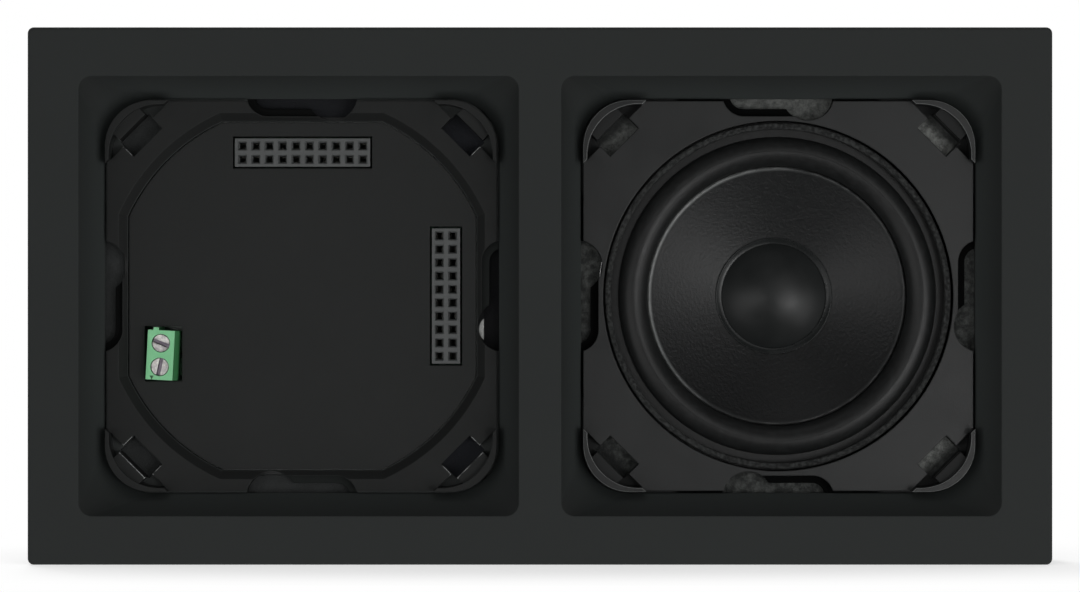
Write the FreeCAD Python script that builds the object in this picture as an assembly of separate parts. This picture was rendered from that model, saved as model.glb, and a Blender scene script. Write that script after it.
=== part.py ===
import FreeCAD, Part
import math
import os

from FreeCAD import Vector

# In-wall radio: a double cover frame over a radio insert and a loudspeaker insert.
# Millimetres. X to the right, Z up, Y into the wall; the wall face is Y = 0.

# Double cover frame
gang_pitch = 71.0
middle_bar = 6.2
ramp_run = 3.0
window_corner_radius = 2.0
frame_side_border = 7.5
frame_top_border = 7.15
frame_depth = 11.0
frame_corner_radius = 0.9
frame_edge_radius = 0.5
frame_wall = 1.8
funnel_wall = 1.5
throat_radius = 7.2
throat_lip = 0.7
rib_thickness = 1.2
rib_spacing = 30.0
rib_foot_gap = 0.6

# Carrier plates, the same moulding for both inserts apart from the opening
carrier_gap = 0.6
carrier_radius = 3.0
flange_thickness = 1.5
boss_height = 1.3
boss_clearance = 0.35
seal_gap = 0.2
seal_clearance = 0.03
seal_thickness = 2.0
claw_tip_thickness = 0.55
claw_inner_radius = 7.6
claw_height = 2.2
claw_reach = 9.3
claw_trough_depth = 1.9
latch_block_width = 5.4
latch_block_height = 1.3
latch_pocket_length = 6.0
latch_pocket_start = 32.4
latch_pocket_width = 3.1
screw_circle_radius = 30.0
key_hole_radius = 3.8
key_hole_offset = 4.5
key_slot_half_width = 2.05
key_slot_end = 5.1
key_ledge_half_width = 3.2
key_ledge_end = 2.6
key_ledge_thickness = 1.2

# Insert screws, which hold the radio housing and the driver to their carriers
ear_offset = 4.65
ear_end_radius = 1.6
ear_hole_radius = 1.0
insert_rim_width = 0.9
insert_screw_radius = 0.8
insert_screw_head_radius = 1.5
insert_screw_head_height = 0.8
insert_screw_bite = 1.9
insert_screw_slot = 0.5
insert_screw_slot_angle = 45.0
pilot_clearance = 0.05

# Radio housing and its front cover
cover_ear_gap = 1.95
cover_flat_depth = 2.6
cover_clearance = 0.2
cover_recess = 1.5
cover_slope = 1.2
cover_thickness = 1.5
cover_lip_height = 2.0
cover_lip_thickness = 1.2
housing_depth = 26.0
housing_wall = 1.6
housing_floor = 1.8
housing_edge_radius = 1.2
housing_ear_thickness = 1.2
lead_notch_width = 4.4
lead_notch_depth = 1.0
post_inset = 4.98
post_radius = 2.5
vent_count = 5
vent_length = 16.0
vent_width = 1.6
vent_pitch = 3.4
vent_height = 9.0

# Circuit boards
board_thickness = 1.6
board_clearance = 0.3
board_gap = 9.2
spacer_radius = 2.2
spacer_bore = 1.2
board_screw_radius = 1.0
board_screw_head_radius = 1.8
board_screw_head_height = 1.1
board_screw_bite = 5.0
board_screw_slot = 0.5
board_screw_slot_angle = 30.0

# Two sockets for the control cap, 2 rows of 10 contacts
contact_pitch = 2.0
contact_count = 10
contact_rows = 2
socket_width = 4.2
socket_end_margin = 1.1
socket_height = 6.0
socket_inset = 4.45
socket_proud = 0.1
socket_standoff = 0.4
socket_standoff_length = 0.5
socket_cutout_gap = 0.3
contact_hole = 1.0
contact_hole_mouth = 1.4
contact_hole_bevel = 0.4
contact_clearance = 0.08
contact_leaf = 0.16
contact_leaf_length = 2.6
contact_base = 0.5
contact_foot_width = 0.5
contact_foot_reach = 2.4

# Two-pole loudspeaker terminal
terminal_x = -21.1
terminal_z = -8.8
terminal_tilt = 3.0
terminal_pitch = 3.55
terminal_length = 7.4
terminal_top_width = 4.0
terminal_slope_width = 0.6
terminal_slope_height = 2.4
terminal_proud = 1.5
terminal_tab_length = 0.8
terminal_tab_height = 0.4
terminal_mark_size = 0.6
terminal_gap_top = 0.6
terminal_gap_side = 0.25
clamp_screw_radius = 1.28
clamp_screw_well_gap = 0.09
clamp_screw_recess = 0.25
clamp_screw_length = 3.4
clamp_screw_slot_width = 0.55
clamp_screw_slot_depth = 0.7
clamp_screw_angles = (-18.0, 80.0)
clamp_size = 2.5
clamp_wall = 0.4
clamp_depth = 3.2

# Three-pole mains terminal at the back
mains_z = -12.0
mains_poles = 3
mains_pitch = 5.0
mains_end_margin = 0.3
mains_width = 8.6
mains_proud = 0.6
mains_gap = 0.3
mains_screw_radius = 1.6
mains_screw_recess = 0.8
mains_screw_length = 5.0
mains_entry = 2.8
mains_row_spacing = 4.1
mains_entry_depth = 6.0
mains_slot_width = 0.7
mains_slot_depth = 0.8
mains_slot_angle = 35.0

# Parts on the boards
shield_x = 2.0
shield_z = 4.0
shield_length = 16.0
shield_width = 12.0
shield_height = 2.8
shield_sheet = 0.3
shield_hole_radius = 0.7
shield_hole_pitch = 4.0
amplifier_x = 4.0
amplifier_z = -11.0
amplifier_length = 6.4
amplifier_width = 5.2
amplifier_height = 1.4
amplifier_lead_count = 4
amplifier_lead_pitch = 1.27
amplifier_lead_reach = 0.9
amplifier_lead_width = 0.42
amplifier_lead_thickness = 0.3
transformer_x = -7.0
transformer_z = 8.0
core_length = 14.0
core_height = 8.2
core_width = 5.6
core_leg = 1.6
core_centre_leg = 3.0
winding_overhang = 2.0
winding_clearance = 0.1
capacitor_x = 9.0
capacitor_radius = 3.15
capacitor_height = 7.6
capacitor_spacing = 7.6
capacitor_groove = 0.35
capacitor_groove_height = 2.1
link_x = -7.0
link_z = -9.0
link_pitch = 2.54
link_columns = 3
link_plug_height = 2.5
link_pin = 0.64
link_pin_clearance = 0.1
link_pin_reach = 5.0

# Two-inch loudspeaker driver
driver_radius = 25.8
driver_clearance = 0.3
gasket_width = 0.9
gasket_recess = 0.3
surround_sheet = 0.4
roll_inset = 2.0
roll_width = 4.3
roll_height = 1.9
lip_drop = 1.5
lip_width = 0.5
cone_rim_width = 0.6
cone_rim_clearance = 0.05
cone_sheet = 0.5
cone_depth = 6.6
cone_bow = 0.35
cap_radius = 8.0
cap_height = 2.9
cap_sheet = 0.35
former_inner_radius = 6.5
former_sheet = 0.3
former_length = 12.2
coil_thickness = 0.5
coil_height = 5.4
coil_gap = 0.5
pole_gap = 0.4
basket_sheet = 0.8
basket_throat_inset = 2.6
basket_ledge_inset = 5.8
basket_ledge_width = 3.2
basket_ledge_y = 6.6
basket_floor_y = 11.4
basket_floor_hole = 9.0
basket_window_angle = 56.0
basket_window_margin = 1.4
spider_sheet = 0.4
spider_drop = 2.0
spider_waves = 3
spider_wave_height = 0.5
spider_neck_height = 1.0
spider_neck_gap = 0.05
top_plate_radius = 17.0
top_plate_thickness = 3.0
magnet_radius = 18.0
magnet_bore = 9.6
magnet_thickness = 7.0
yoke_thickness = 3.0
yoke_chamfer = 0.8
pole_vent_radius = 1.6
tag_board_length = 13.0
tag_board_width = 6.4
tag_board_thickness = 0.8
tag_board_gap = 0.4
tag_spacing = 7.0
tag_width = 2.0
tag_length = 6.6
tag_thickness = 0.4
tag_hole_radius = 0.6
lead_radius = 0.4
lead_start_radius = 11.0
lead_bend = 2.0

# Levels and places worked out from the driving dimensions
window_size = gang_pitch - middle_bar
throat_size = window_size - 2 * ramp_run
carrier_size = gang_pitch - carrier_gap
seal_size = gang_pitch - seal_gap
frame_width = gang_pitch + window_size + 2 * frame_side_border
frame_height = window_size + 2 * frame_top_border
frame_front = -frame_depth
carrier_back = -seal_thickness
flange_front = carrier_back - flange_thickness
plate_front = flange_front - boss_height
throat_front = flange_front - throat_lip
boss_size = throat_size - 2 * boss_clearance
boss_radius = throat_radius - boss_clearance
claw_front = plate_front - claw_height
key_ledge_front = carrier_back - key_ledge_thickness
cover_front = plate_front + cover_recess
cover_back = cover_front + cover_thickness
driver_rim_radius = driver_radius + insert_rim_width
ear_radius = driver_radius + ear_offset
cover_radius = ear_radius - cover_ear_gap
cover_half_across = cover_radius - cover_flat_depth
opening_half_across = cover_half_across + cover_clearance
opening_radius = cover_radius + cover_clearance
cavity_half_across = cover_half_across - housing_wall
cavity_radius = cover_radius - housing_wall
post_spacing = math.sqrt(2) * (cavity_radius - post_inset)
socket_offset = cover_half_across - socket_inset
socket_front = cover_front - socket_proud
main_board_front = socket_front + socket_height
main_board_back = main_board_front + board_thickness
power_board_front = main_board_back + board_gap
power_board_back = power_board_front + board_thickness
socket_length = (contact_count - 1) * contact_pitch + 2 * socket_end_margin
terminal_top = cover_front - terminal_proud
mains_length = mains_poles * mains_pitch + 2 * mains_end_margin
mains_back = housing_depth + mains_proud
surround_front = carrier_back - surround_sheet
roll_outer = driver_radius - roll_inset
roll_inner = roll_outer - roll_width
basket_throat = driver_radius - basket_throat_inset
basket_ledge_outer = driver_radius - basket_ledge_inset
basket_ledge_inner = basket_ledge_outer - basket_ledge_width
gasket_front = plate_front + gasket_recess
lip_front = surround_front + lip_drop
cone_rim_front = lip_front - cone_sheet
cone_rim_inner = roll_inner - cone_rim_width
former_radius = former_inner_radius + former_sheet
coil_radius = former_radius + coil_thickness
neck_y = cone_rim_front + cone_depth
pole_radius = former_inner_radius - pole_gap
top_plate_front = basket_floor_y + basket_sheet
top_plate_back = top_plate_front + top_plate_thickness
magnet_back = top_plate_back + magnet_thickness
yoke_back = magnet_back + yoke_thickness
coil_middle = top_plate_front + top_plate_thickness / 2
radio_x = -gang_pitch / 2
speaker_x = gang_pitch / 2
corner_angle = -45
y_axis = Vector(0, 1, 0)
origin = Vector(0, 0, 0)


# Small helpers


def box(x0, x1, y0, y1, z0, z1):
    return Part.makeBox(x1 - x0, y1 - y0, z1 - z0, Vector(x0, y0, z0))


def block(x, z, width, height, y0, y1):
    return box(x - width / 2, x + width / 2, y0, y1, z - height / 2, z + height / 2)


def rod(x, z, radius, y0, y1):
    return Part.makeCylinder(radius, y1 - y0, Vector(x, y0, z), y_axis)


def polygon(points):
    return Part.makePolygon(points + points[:1])


def prism(wire, y1):
    y0 = wire.BoundBox.YMin
    return Part.Face(wire).extrude(Vector(0, y1 - y0, 0))


def rounded_wire(width, height, radius, y):
    half_x = width / 2
    half_z = height / 2
    inset = radius * (1 - math.sqrt(0.5))
    arcs = []
    for side_x, side_z in ((1, 1), (1, -1), (-1, -1), (-1, 1)):
        on_top = Vector(side_x * (half_x - radius), y, side_z * half_z)
        middle = Vector(side_x * (half_x - inset), y, side_z * (half_z - inset))
        on_side = Vector(side_x * half_x, y, side_z * (half_z - radius))
        ends = (on_top, on_side) if side_x == side_z else (on_side, on_top)
        arcs.append((ends[0], middle, ends[1]))
    edges = []
    for arc, following in zip(arcs, arcs[1:] + arcs[:1]):
        edges.append(Part.Arc(*arc).toShape())
        edges.append(Part.LineSegment(arc[2], following[0]).toShape())
    return Part.Wire(edges)


def square_prism(size, radius, y0, y1):
    return prism(rounded_wire(size, size, radius, y0), y1)


def flat_disc_wire(half_across, radius, y):
    half_flat = math.sqrt(radius ** 2 - half_across ** 2)
    diagonal = radius * math.sqrt(0.5)
    flat = Part.LineSegment(Vector(-half_flat, y, half_across), Vector(half_flat, y, half_across)).toShape()
    bow = Part.Arc(Vector(half_flat, y, half_across), Vector(diagonal, y, diagonal),
                   Vector(half_across, y, half_flat)).toShape()
    return Part.Wire(Part.__sortEdges__(four_ways(flat) + four_ways(bow)))


def flat_disc_prism(half_across, radius, y0, y1):
    return prism(flat_disc_wire(half_across, radius, y0), y1)


def turned(shape, degrees):
    return shape.rotated(origin, y_axis, degrees)


def four_ways(shape):
    return [turned(shape, 90 * turn) for turn in range(4)]


def fused(shapes):
    return shapes[0].multiFuse(shapes[1:]).removeSplitter()


def spun(edges):
    return Part.Face(Part.Wire(edges)).revolve(origin, y_axis, 360)


def at_radius(radius, y):
    return Vector(radius, y, 0)


def path(points):
    return [Part.LineSegment(a, b).toShape() for a, b in zip(points, points[1:])]


def ring(inner, outer, y0, y1):
    corners = [at_radius(inner, y0), at_radius(outer, y0), at_radius(outer, y1), at_radius(inner, y1)]
    return spun(path(corners + corners[:1]))


def slot_cut(x, z, diameter, width, depth, y_face, angle):
    cutter = box(-diameter, diameter, y_face, y_face + depth, -width / 2, width / 2)
    return turned(cutter, angle).translated(Vector(x, 0, z))


# Double cover frame


def ramp(grow):
    mouth_size = window_size + 2 * grow
    mouth = rounded_wire(mouth_size, mouth_size, window_corner_radius + grow, frame_front)
    foot_size = throat_size + 2 * grow
    throat = rounded_wire(foot_size, foot_size, throat_radius + grow, throat_front)
    return Part.makeLoft([mouth, throat], True, True)


def window_funnel():
    outer_size = throat_size + 2 * funnel_wall
    lip = square_prism(outer_size, throat_radius + funnel_wall, throat_front, flange_front)
    return fused([ramp(funnel_wall), lip])


def window_opening():
    throat = square_prism(throat_size, throat_radius, throat_front, flange_front)
    return fused([ramp(0.0), throat])


def frame_ribs():
    rib_back = flange_front - rib_foot_gap
    half_height = frame_height / 2 - frame_wall / 2
    half_width = frame_width / 2 - frame_wall / 2
    reach = throat_size / 2
    half_rib = rib_thickness / 2
    ribs = []
    for side in (-1, 1):
        for step in (-0.5, 0.5):
            x = side * gang_pitch / 2 + step * rib_spacing
            for up in (-1, 1):
                z_ends = sorted((up * reach, up * half_height))
                ribs.append(box(x - half_rib, x + half_rib, frame_front, rib_back, *z_ends))
            z = step * rib_spacing
            x_ends = sorted((side * (gang_pitch / 2 + reach), side * half_width))
            ribs.append(box(*x_ends, frame_front, rib_back, z - half_rib, z + half_rib))
    inner = gang_pitch / 2 - reach
    for step in (-0.5, 0.5):
        ribs.append(block(0, step * rib_spacing, 2 * inner, rib_thickness, frame_front, rib_back))
    return ribs


def cover_frame():
    outer = prism(rounded_wire(frame_width, frame_height, frame_corner_radius, frame_front), 0)
    front_edges = [e for e in outer.Edges if e.BoundBox.YMax < frame_front / 2]
    outer = outer.makeFillet(frame_edge_radius, front_edges)
    hollow_radius = max(frame_corner_radius - frame_wall, frame_edge_radius)
    hollow_width = frame_width - 2 * frame_wall
    hollow_height = frame_height - 2 * frame_wall
    hollow = prism(rounded_wire(hollow_width, hollow_height, hollow_radius, frame_front + frame_wall), 0)
    places = [Vector(side * gang_pitch / 2, 0, 0) for side in (-1, 1)]
    funnels = [window_funnel().translated(place) for place in places]
    solid = fused([outer.cut(hollow)] + funnels + frame_ribs())
    openings = [window_opening().translated(place) for place in places]
    return solid.cut(Part.makeCompound(openings)).removeSplitter()


# Carrier plates


def key_slot():
    z = screw_circle_radius
    hole = rod(key_hole_offset, z, key_hole_radius, plate_front, carrier_back)
    end = rod(-key_slot_end, z, key_slot_half_width, plate_front, carrier_back)
    slot = block((key_hole_offset - key_slot_end) / 2, z, key_hole_offset + key_slot_end,
                 2 * key_slot_half_width, plate_front, carrier_back)
    ledge = block((key_ledge_end - key_slot_end) / 2, z, key_ledge_end + key_slot_end,
                  2 * key_ledge_half_width, plate_front, key_ledge_front)
    ledge_end = rod(-key_slot_end, z, key_ledge_half_width, plate_front, key_ledge_front)
    return fused([hole, end, slot, ledge, ledge_end])


def diagonal_block(start, depth, width, y0, y1):
    bar = box(start, start + depth, y0, y1, -width / 2, width / 2)
    return turned(bar, corner_angle)


def claw_room(y0, y1):
    return square_prism(boss_size - 2 * claw_tip_thickness, claw_inner_radius, y0, y1)


def behind_claw_tips(shape):
    start = (boss_size - claw_reach) / math.sqrt(2)
    return shape.common(diagonal_block(start, boss_size, 2 * boss_size, claw_front, carrier_back))


def ear_outline(reach_from, grow, y0, y1):
    end = rod(ear_radius, 0, ear_end_radius + grow, y0, y1)
    arm = box(reach_from, ear_radius, y0, y1, -ear_end_radius - grow, ear_end_radius + grow)
    return turned(fused([arm, end]), corner_angle)


def carrier(opening):
    flange = square_prism(carrier_size, carrier_radius, flange_front, carrier_back)
    boss = square_prism(boss_size, boss_radius, plate_front, flange_front)
    plate = fused([flange, boss])
    trough_floor = plate_front + claw_trough_depth
    trough = behind_claw_tips(claw_room(plate_front, trough_floor))
    pocket = diagonal_block(latch_pocket_start, latch_pocket_width, latch_pocket_length,
                            claw_front, carrier_back)
    pilot = turned(rod(ear_radius, 0, insert_screw_radius + pilot_clearance,
                       carrier_back - insert_screw_bite - pilot_clearance, carrier_back), corner_angle)
    plate = plate.cut(Part.makeCompound(four_ways(key_slot()) + [opening]))
    plate = plate.cut(Part.makeCompound(four_ways(trough)))
    wall = square_prism(boss_size, boss_radius, claw_front, trough_floor)
    wall = behind_claw_tips(wall.cut(claw_room(claw_front, trough_floor)))
    latch_end = latch_pocket_start + latch_pocket_width
    latch = diagonal_block(latch_end, boss_size / 2, latch_block_width,
                           plate_front - latch_block_height, trough_floor)
    latch = latch.common(square_prism(boss_size, boss_radius, claw_front, carrier_back))
    plate = fused([plate] + four_ways(wall) + four_ways(latch))
    return plate.cut(Part.makeCompound(four_ways(pocket) + four_ways(pilot))).removeSplitter()


def radio_opening():
    mouth = flat_disc_wire(opening_half_across + cover_slope, opening_radius + cover_slope, plate_front)
    foot = flat_disc_wire(opening_half_across, opening_radius, cover_front)
    slope = Part.makeLoft([mouth, foot], True, True)
    bore = flat_disc_prism(opening_half_across, opening_radius, plate_front, carrier_back)
    return fused([slope, bore])


def driver_opening():
    return rod(0, 0, driver_radius + driver_clearance, plate_front, carrier_back)


def seal(opening, reach_from):
    sheet = square_prism(seal_size, carrier_radius, carrier_back, 0)
    ears = four_ways(ear_outline(reach_from, seal_clearance, carrier_back, 0))
    return sheet.cut(Part.makeCompound([opening] + ears))


def insert_screws(ear_back):
    head = rod(ear_radius, 0, insert_screw_head_radius, ear_back, ear_back + insert_screw_head_height)
    shank = rod(ear_radius, 0, insert_screw_radius, carrier_back - insert_screw_bite, ear_back)
    slot = slot_cut(ear_radius, 0, insert_screw_head_radius, insert_screw_slot, insert_screw_slot,
                    ear_back + insert_screw_head_height - insert_screw_slot, insert_screw_slot_angle)
    screw = fused([head, shank]).cut(slot)
    return Part.makeCompound(four_ways(turned(screw, corner_angle)))


# Radio insert


def socket_turns():
    return {"upper": 0, "side": 90}


def contact_places():
    places = []
    for row in range(contact_rows):
        for column in range(contact_count):
            x = (column - (contact_count - 1) / 2) * contact_pitch
            z = (row - (contact_rows - 1) / 2) * contact_pitch
            places.append((x, z))
    return places


def square_wire(x, z, size, y):
    half = size / 2
    corners = [(x - half, z - half), (x + half, z - half), (x + half, z + half), (x - half, z + half)]
    return polygon([Vector(px, y, pz) for px, pz in corners])


def socket_body():
    body_back = main_board_front - socket_standoff
    body = block(0, 0, socket_length, socket_width, socket_front, body_back)
    holes = []
    for x, z in contact_places():
        mouth = square_wire(x, z, contact_hole_mouth, socket_front)
        neck = square_wire(x, z, contact_hole, socket_front + contact_hole_bevel)
        holes.append(Part.makeLoft([mouth, neck], True, True))
        holes.append(block(x, z, contact_hole, contact_hole, socket_front + contact_hole_bevel, body_back))
    body = body.cut(Part.makeCompound(holes))
    feet = []
    for side in (-1, 1):
        x = side * (socket_length - socket_standoff_length) / 2
        feet.append(block(x, 0, socket_standoff_length, socket_width, body_back, main_board_front))
    return fused([body] + feet)


def socket_contact(x, z):
    base_back = main_board_front
    base_size = contact_hole - 2 * contact_clearance
    base_front = base_back - socket_standoff - contact_base
    base = block(x, z, base_size, base_size, base_front, base_back)
    outward = 1 if z > 0 else -1
    foot_ends = sorted((z, outward * contact_foot_reach))
    foot = box(x - contact_foot_width / 2, x + contact_foot_width / 2,
               base_back - socket_standoff + contact_clearance, base_back, *foot_ends)
    leaf_offset = (base_size - contact_leaf) / 2
    leaves = []
    for side in (-1, 1):
        leaves.append(block(x, z + side * leaf_offset, base_size, contact_leaf,
                            base_front - contact_leaf_length, base_front))
    return fused([base, foot] + leaves)


def place_socket(shape, turn):
    return turned(shape.translated(Vector(0, 0, socket_offset)), turn)


def radio_cover():
    plate = flat_disc_prism(cover_half_across, cover_radius, cover_front, cover_back)
    lip_across = cavity_half_across - cover_clearance
    lip_radius = cavity_radius - cover_clearance
    lip_back = cover_back + cover_lip_height
    lip = flat_disc_prism(lip_across, lip_radius, cover_back, lip_back)
    lip = lip.cut(flat_disc_prism(lip_across - cover_lip_thickness, lip_radius - cover_lip_thickness,
                                  cover_back, lip_back))
    cuts = []
    for turn in socket_turns().values():
        cut_width = socket_length + 2 * socket_cutout_gap
        cut_height = socket_width + 2 * socket_cutout_gap
        window = block(0, socket_offset, cut_width, cut_height, cover_front, cover_back)
        gap = block(0, cover_half_across, cut_width, socket_width + cover_half_across, cover_back, lip_back)
        cuts += [turned(window, turn), turned(gap, turn)]
    half_width = terminal_top_width / 2 + 2 * terminal_gap_side
    left = terminal_x - half_width
    right = terminal_x + half_width + terminal_slope_width
    foot = terminal_z - terminal_length / 2 - terminal_gap_side
    top = terminal_z + terminal_length / 2 + terminal_gap_top
    cuts.append(box(left, right, cover_front, cover_back, foot, top))
    cuts.append(box(-cover_half_across, right, cover_back, lip_back, foot, top))
    return fused([plate, lip]).cut(Part.makeCompound(cuts))


def post_places():
    half = post_spacing / 2
    return [(x, z) for x in (-half, half) for z in (-half, half)]


def lead_notch():
    half_width = lead_notch_width / 2
    return box(opening_half_across, opening_half_across + lead_notch_depth, carrier_back, 0,
               -key_hole_offset - half_width, -key_hole_offset + half_width)


def radio_seal_opening():
    grow = insert_rim_width + seal_clearance
    opening = flat_disc_prism(cover_half_across + grow, cover_radius + grow, carrier_back, 0)
    return fused([opening, lead_notch()])


def radio_housing():
    tub = flat_disc_prism(cover_half_across, cover_radius, cover_back, housing_depth)
    back_edges = [e for e in tub.Edges if e.BoundBox.YMin > housing_depth - housing_edge_radius]
    tub = tub.makeFillet(housing_edge_radius, back_edges)
    floor_front = housing_depth - housing_floor
    cavity = flat_disc_prism(cavity_half_across, cavity_radius, cover_back, floor_front)
    ear_back = carrier_back + housing_ear_thickness
    ear = ear_outline(cover_radius - housing_wall, 0.0, carrier_back, ear_back)
    ear = ear.cut(turned(rod(ear_radius, 0, ear_hole_radius, carrier_back, ear_back), corner_angle))
    collar = flat_disc_prism(cover_half_across + insert_rim_width, cover_radius + insert_rim_width,
                             carrier_back, ear_back)
    collar = collar.cut(lead_notch())
    cover_room = flat_disc_prism(opening_half_across, opening_radius, carrier_back, cover_back)
    posts = []
    for x, z in post_places():
        pilot = rod(x, z, board_screw_radius + pilot_clearance, power_board_back, floor_front)
        posts.append(rod(x, z, post_radius, power_board_back, floor_front).cut(pilot))
    tub = fused([tub, collar] + four_ways(ear)).cut(Part.makeCompound([cavity, cover_room]))
    tub = fused([tub] + posts)
    cuts = [block(0, mains_z, mains_length + 2 * mains_gap, mains_width + 2 * mains_gap,
                  floor_front, housing_depth)]
    for index in range(vent_count):
        z = vent_height + (index - (vent_count - 1) / 2) * vent_pitch
        cuts.append(block(0, z, vent_length, vent_width, floor_front, housing_depth))
    return tub.cut(Part.makeCompound(cuts))


def board(front):
    outline = flat_disc_prism(cavity_half_across - board_clearance, cavity_radius - board_clearance,
                              front, front + board_thickness)
    holes = [rod(x, z, spacer_bore, front, front + board_thickness) for x, z in post_places()]
    return outline.cut(Part.makeCompound(holes))


def board_spacers():
    tubes = []
    for x, z in post_places():
        tube = rod(x, z, spacer_radius, main_board_back, power_board_front)
        tubes.append(tube.cut(rod(x, z, spacer_bore, main_board_back, power_board_front)))
    return Part.makeCompound(tubes)


def board_screws():
    screws = []
    for x, z in post_places():
        head_front = main_board_front - board_screw_head_height
        head = rod(x, z, board_screw_head_radius, head_front, main_board_front)
        shank = rod(x, z, board_screw_radius, main_board_front, power_board_back + board_screw_bite)
        slot = slot_cut(x, z, board_screw_head_radius, board_screw_slot, board_screw_slot,
                        head_front, board_screw_slot_angle)
        screws.append(fused([head, shank]).cut(slot))
    return Part.makeCompound(screws)


# Loudspeaker terminal


def terminal_screw_places():
    return [side * terminal_pitch / 2 for side in (1, -1)]


def place_terminal(shape):
    return turned(shape, terminal_tilt).translated(Vector(terminal_x, 0, terminal_z))


def terminal_body():
    half_top = terminal_top_width / 2
    foot = half_top + terminal_slope_width
    half_length = terminal_length / 2
    slope_foot = terminal_top + terminal_slope_height
    profile = [(-half_top, terminal_top), (half_top, terminal_top), (foot, slope_foot),
               (foot, main_board_front), (-half_top, main_board_front)]
    body = Part.Face(polygon([Vector(x, y, -half_length) for x, y in profile]))
    body = body.extrude(Vector(0, 0, terminal_length))
    tab_left = -half_top + terminal_tab_length
    tab = box(tab_left, tab_left + terminal_tab_length, terminal_top, main_board_front,
              half_length, half_length + terminal_tab_height)
    mark_left = -half_top + terminal_mark_size
    mark_top = -half_length + terminal_mark_size
    mark = polygon([Vector(mark_left, terminal_top, mark_top),
                    Vector(mark_left + terminal_mark_size, terminal_top, mark_top),
                    Vector(mark_left + terminal_mark_size / 2, terminal_top, -half_length)])
    cuts = [prism(mark, terminal_top + terminal_mark_size)]
    for z in terminal_screw_places():
        cuts.append(rod(0, z, clamp_screw_radius + clamp_screw_well_gap, terminal_top, clamp_front()))
        cuts.append(clamp_room(z, clamp_screw_well_gap))
    return fused([body, tab]).cut(Part.makeCompound(cuts))


def clamp_front():
    return terminal_top + clamp_screw_recess + clamp_screw_length - clamp_wall


def clamp_room(z, grow):
    half = clamp_size / 2 + grow
    side = terminal_top_width / 2 + terminal_slope_width
    return box(-half, side, clamp_front() - grow, clamp_front() + clamp_depth + grow, z - half, z + half)


def terminal_screws():
    screws = []
    for z, angle in zip(terminal_screw_places(), clamp_screw_angles):
        top = terminal_top + clamp_screw_recess
        screw = rod(0, z, clamp_screw_radius, top, clamp_front())
        screws.append(screw.cut(slot_cut(0, z, 2 * clamp_screw_radius, clamp_screw_slot_width,
                                         clamp_screw_slot_depth, top, -angle)))
    return Part.makeCompound(screws)


def terminal_clamps():
    cages = []
    half = clamp_size / 2
    for z in terminal_screw_places():
        cage = box(-half, half, clamp_front(), clamp_front() + clamp_depth, z - half, z + half)
        inner = half - clamp_wall
        cages.append(cage.cut(box(-half, half, clamp_front() + clamp_wall,
                                  clamp_front() + clamp_depth - clamp_wall, z - inner, z + inner)))
    return Part.makeCompound(cages)


# Mains terminal at the back of the radio


def mains_places():
    return [(index - (mains_poles - 1) / 2) * mains_pitch for index in range(mains_poles)]


def mains_body():
    body = block(0, mains_z, mains_length, mains_width, power_board_back, mains_back)
    cuts = []
    for x in mains_places():
        screw_z = mains_z + mains_row_spacing / 2
        entry_z = mains_z - mains_row_spacing / 2
        cuts.append(rod(x, screw_z, mains_screw_radius + clamp_screw_well_gap,
                        mains_back - mains_screw_recess - mains_screw_length, mains_back))
        cuts.append(block(x, entry_z, mains_entry, mains_entry, mains_back - mains_entry_depth, mains_back))
    return body.cut(Part.makeCompound(cuts))


def mains_screws():
    screws = []
    for x in mains_places():
        z = mains_z + mains_row_spacing / 2
        back = mains_back - mains_screw_recess
        screw = rod(x, z, mains_screw_radius, back - mains_screw_length, back)
        screws.append(screw.cut(slot_cut(x, z, 2 * mains_screw_radius, mains_slot_width,
                                         mains_slot_depth, back - mains_slot_depth,
                                         mains_slot_angle)))
    return Part.makeCompound(screws)


# Parts on the boards


def tuner_shield():
    front = main_board_front - shield_height
    can = block(0, 0, shield_length, shield_width, front, main_board_front)
    room = block(0, 0, shield_length - 2 * shield_sheet, shield_width - 2 * shield_sheet,
                 front + shield_sheet, main_board_front)
    holes = []
    for column in (-1, 0, 1):
        for row in (-0.5, 0.5):
            holes.append(rod(column * shield_hole_pitch, row * shield_hole_pitch, shield_hole_radius,
                             front, front + shield_sheet))
    return can.cut(Part.makeCompound([room] + holes)).translated(Vector(shield_x, 0, shield_z))


def amplifier_chip():
    front = main_board_front - amplifier_height
    body = block(0, 0, amplifier_length, amplifier_width, front, main_board_front)
    leads = []
    for index in range(amplifier_lead_count):
        x = (index - (amplifier_lead_count - 1) / 2) * amplifier_lead_pitch
        leads.append(block(x, 0, amplifier_lead_width, amplifier_width + 2 * amplifier_lead_reach,
                           main_board_front - amplifier_lead_thickness, main_board_front))
    return fused([body] + leads).translated(Vector(amplifier_x, 0, amplifier_z))


def transformer_core():
    half = core_height / 2
    centre = core_centre_leg / 2
    middle = power_board_front - half
    core = block(0, 0, core_length, core_width, power_board_front - core_height, power_board_front)
    window_half = core_length / 2 - core_leg
    cuts = []
    for side in (-1, 1):
        ends = sorted((middle + side * centre, middle + side * (half - core_leg)))
        cuts.append(box(-window_half, window_half, *ends, -core_width, core_width))
    return core.cut(Part.makeCompound(cuts)).translated(Vector(transformer_x, 0, transformer_z))


def transformer_winding():
    middle = power_board_front - core_height / 2
    window_half = core_length / 2 - core_leg - winding_clearance
    outer = core_height / 2 - core_leg - winding_clearance
    inner = core_centre_leg / 2 + winding_clearance
    coil = box(-window_half, window_half, middle - outer, middle + outer,
               -core_width / 2 - winding_overhang, core_width / 2 + winding_overhang)
    leg = box(-window_half, window_half, middle - inner, middle + inner,
              -core_width / 2 - winding_clearance, core_width / 2 + winding_clearance)
    return coil.cut(leg).translated(Vector(transformer_x, 0, transformer_z))


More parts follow.
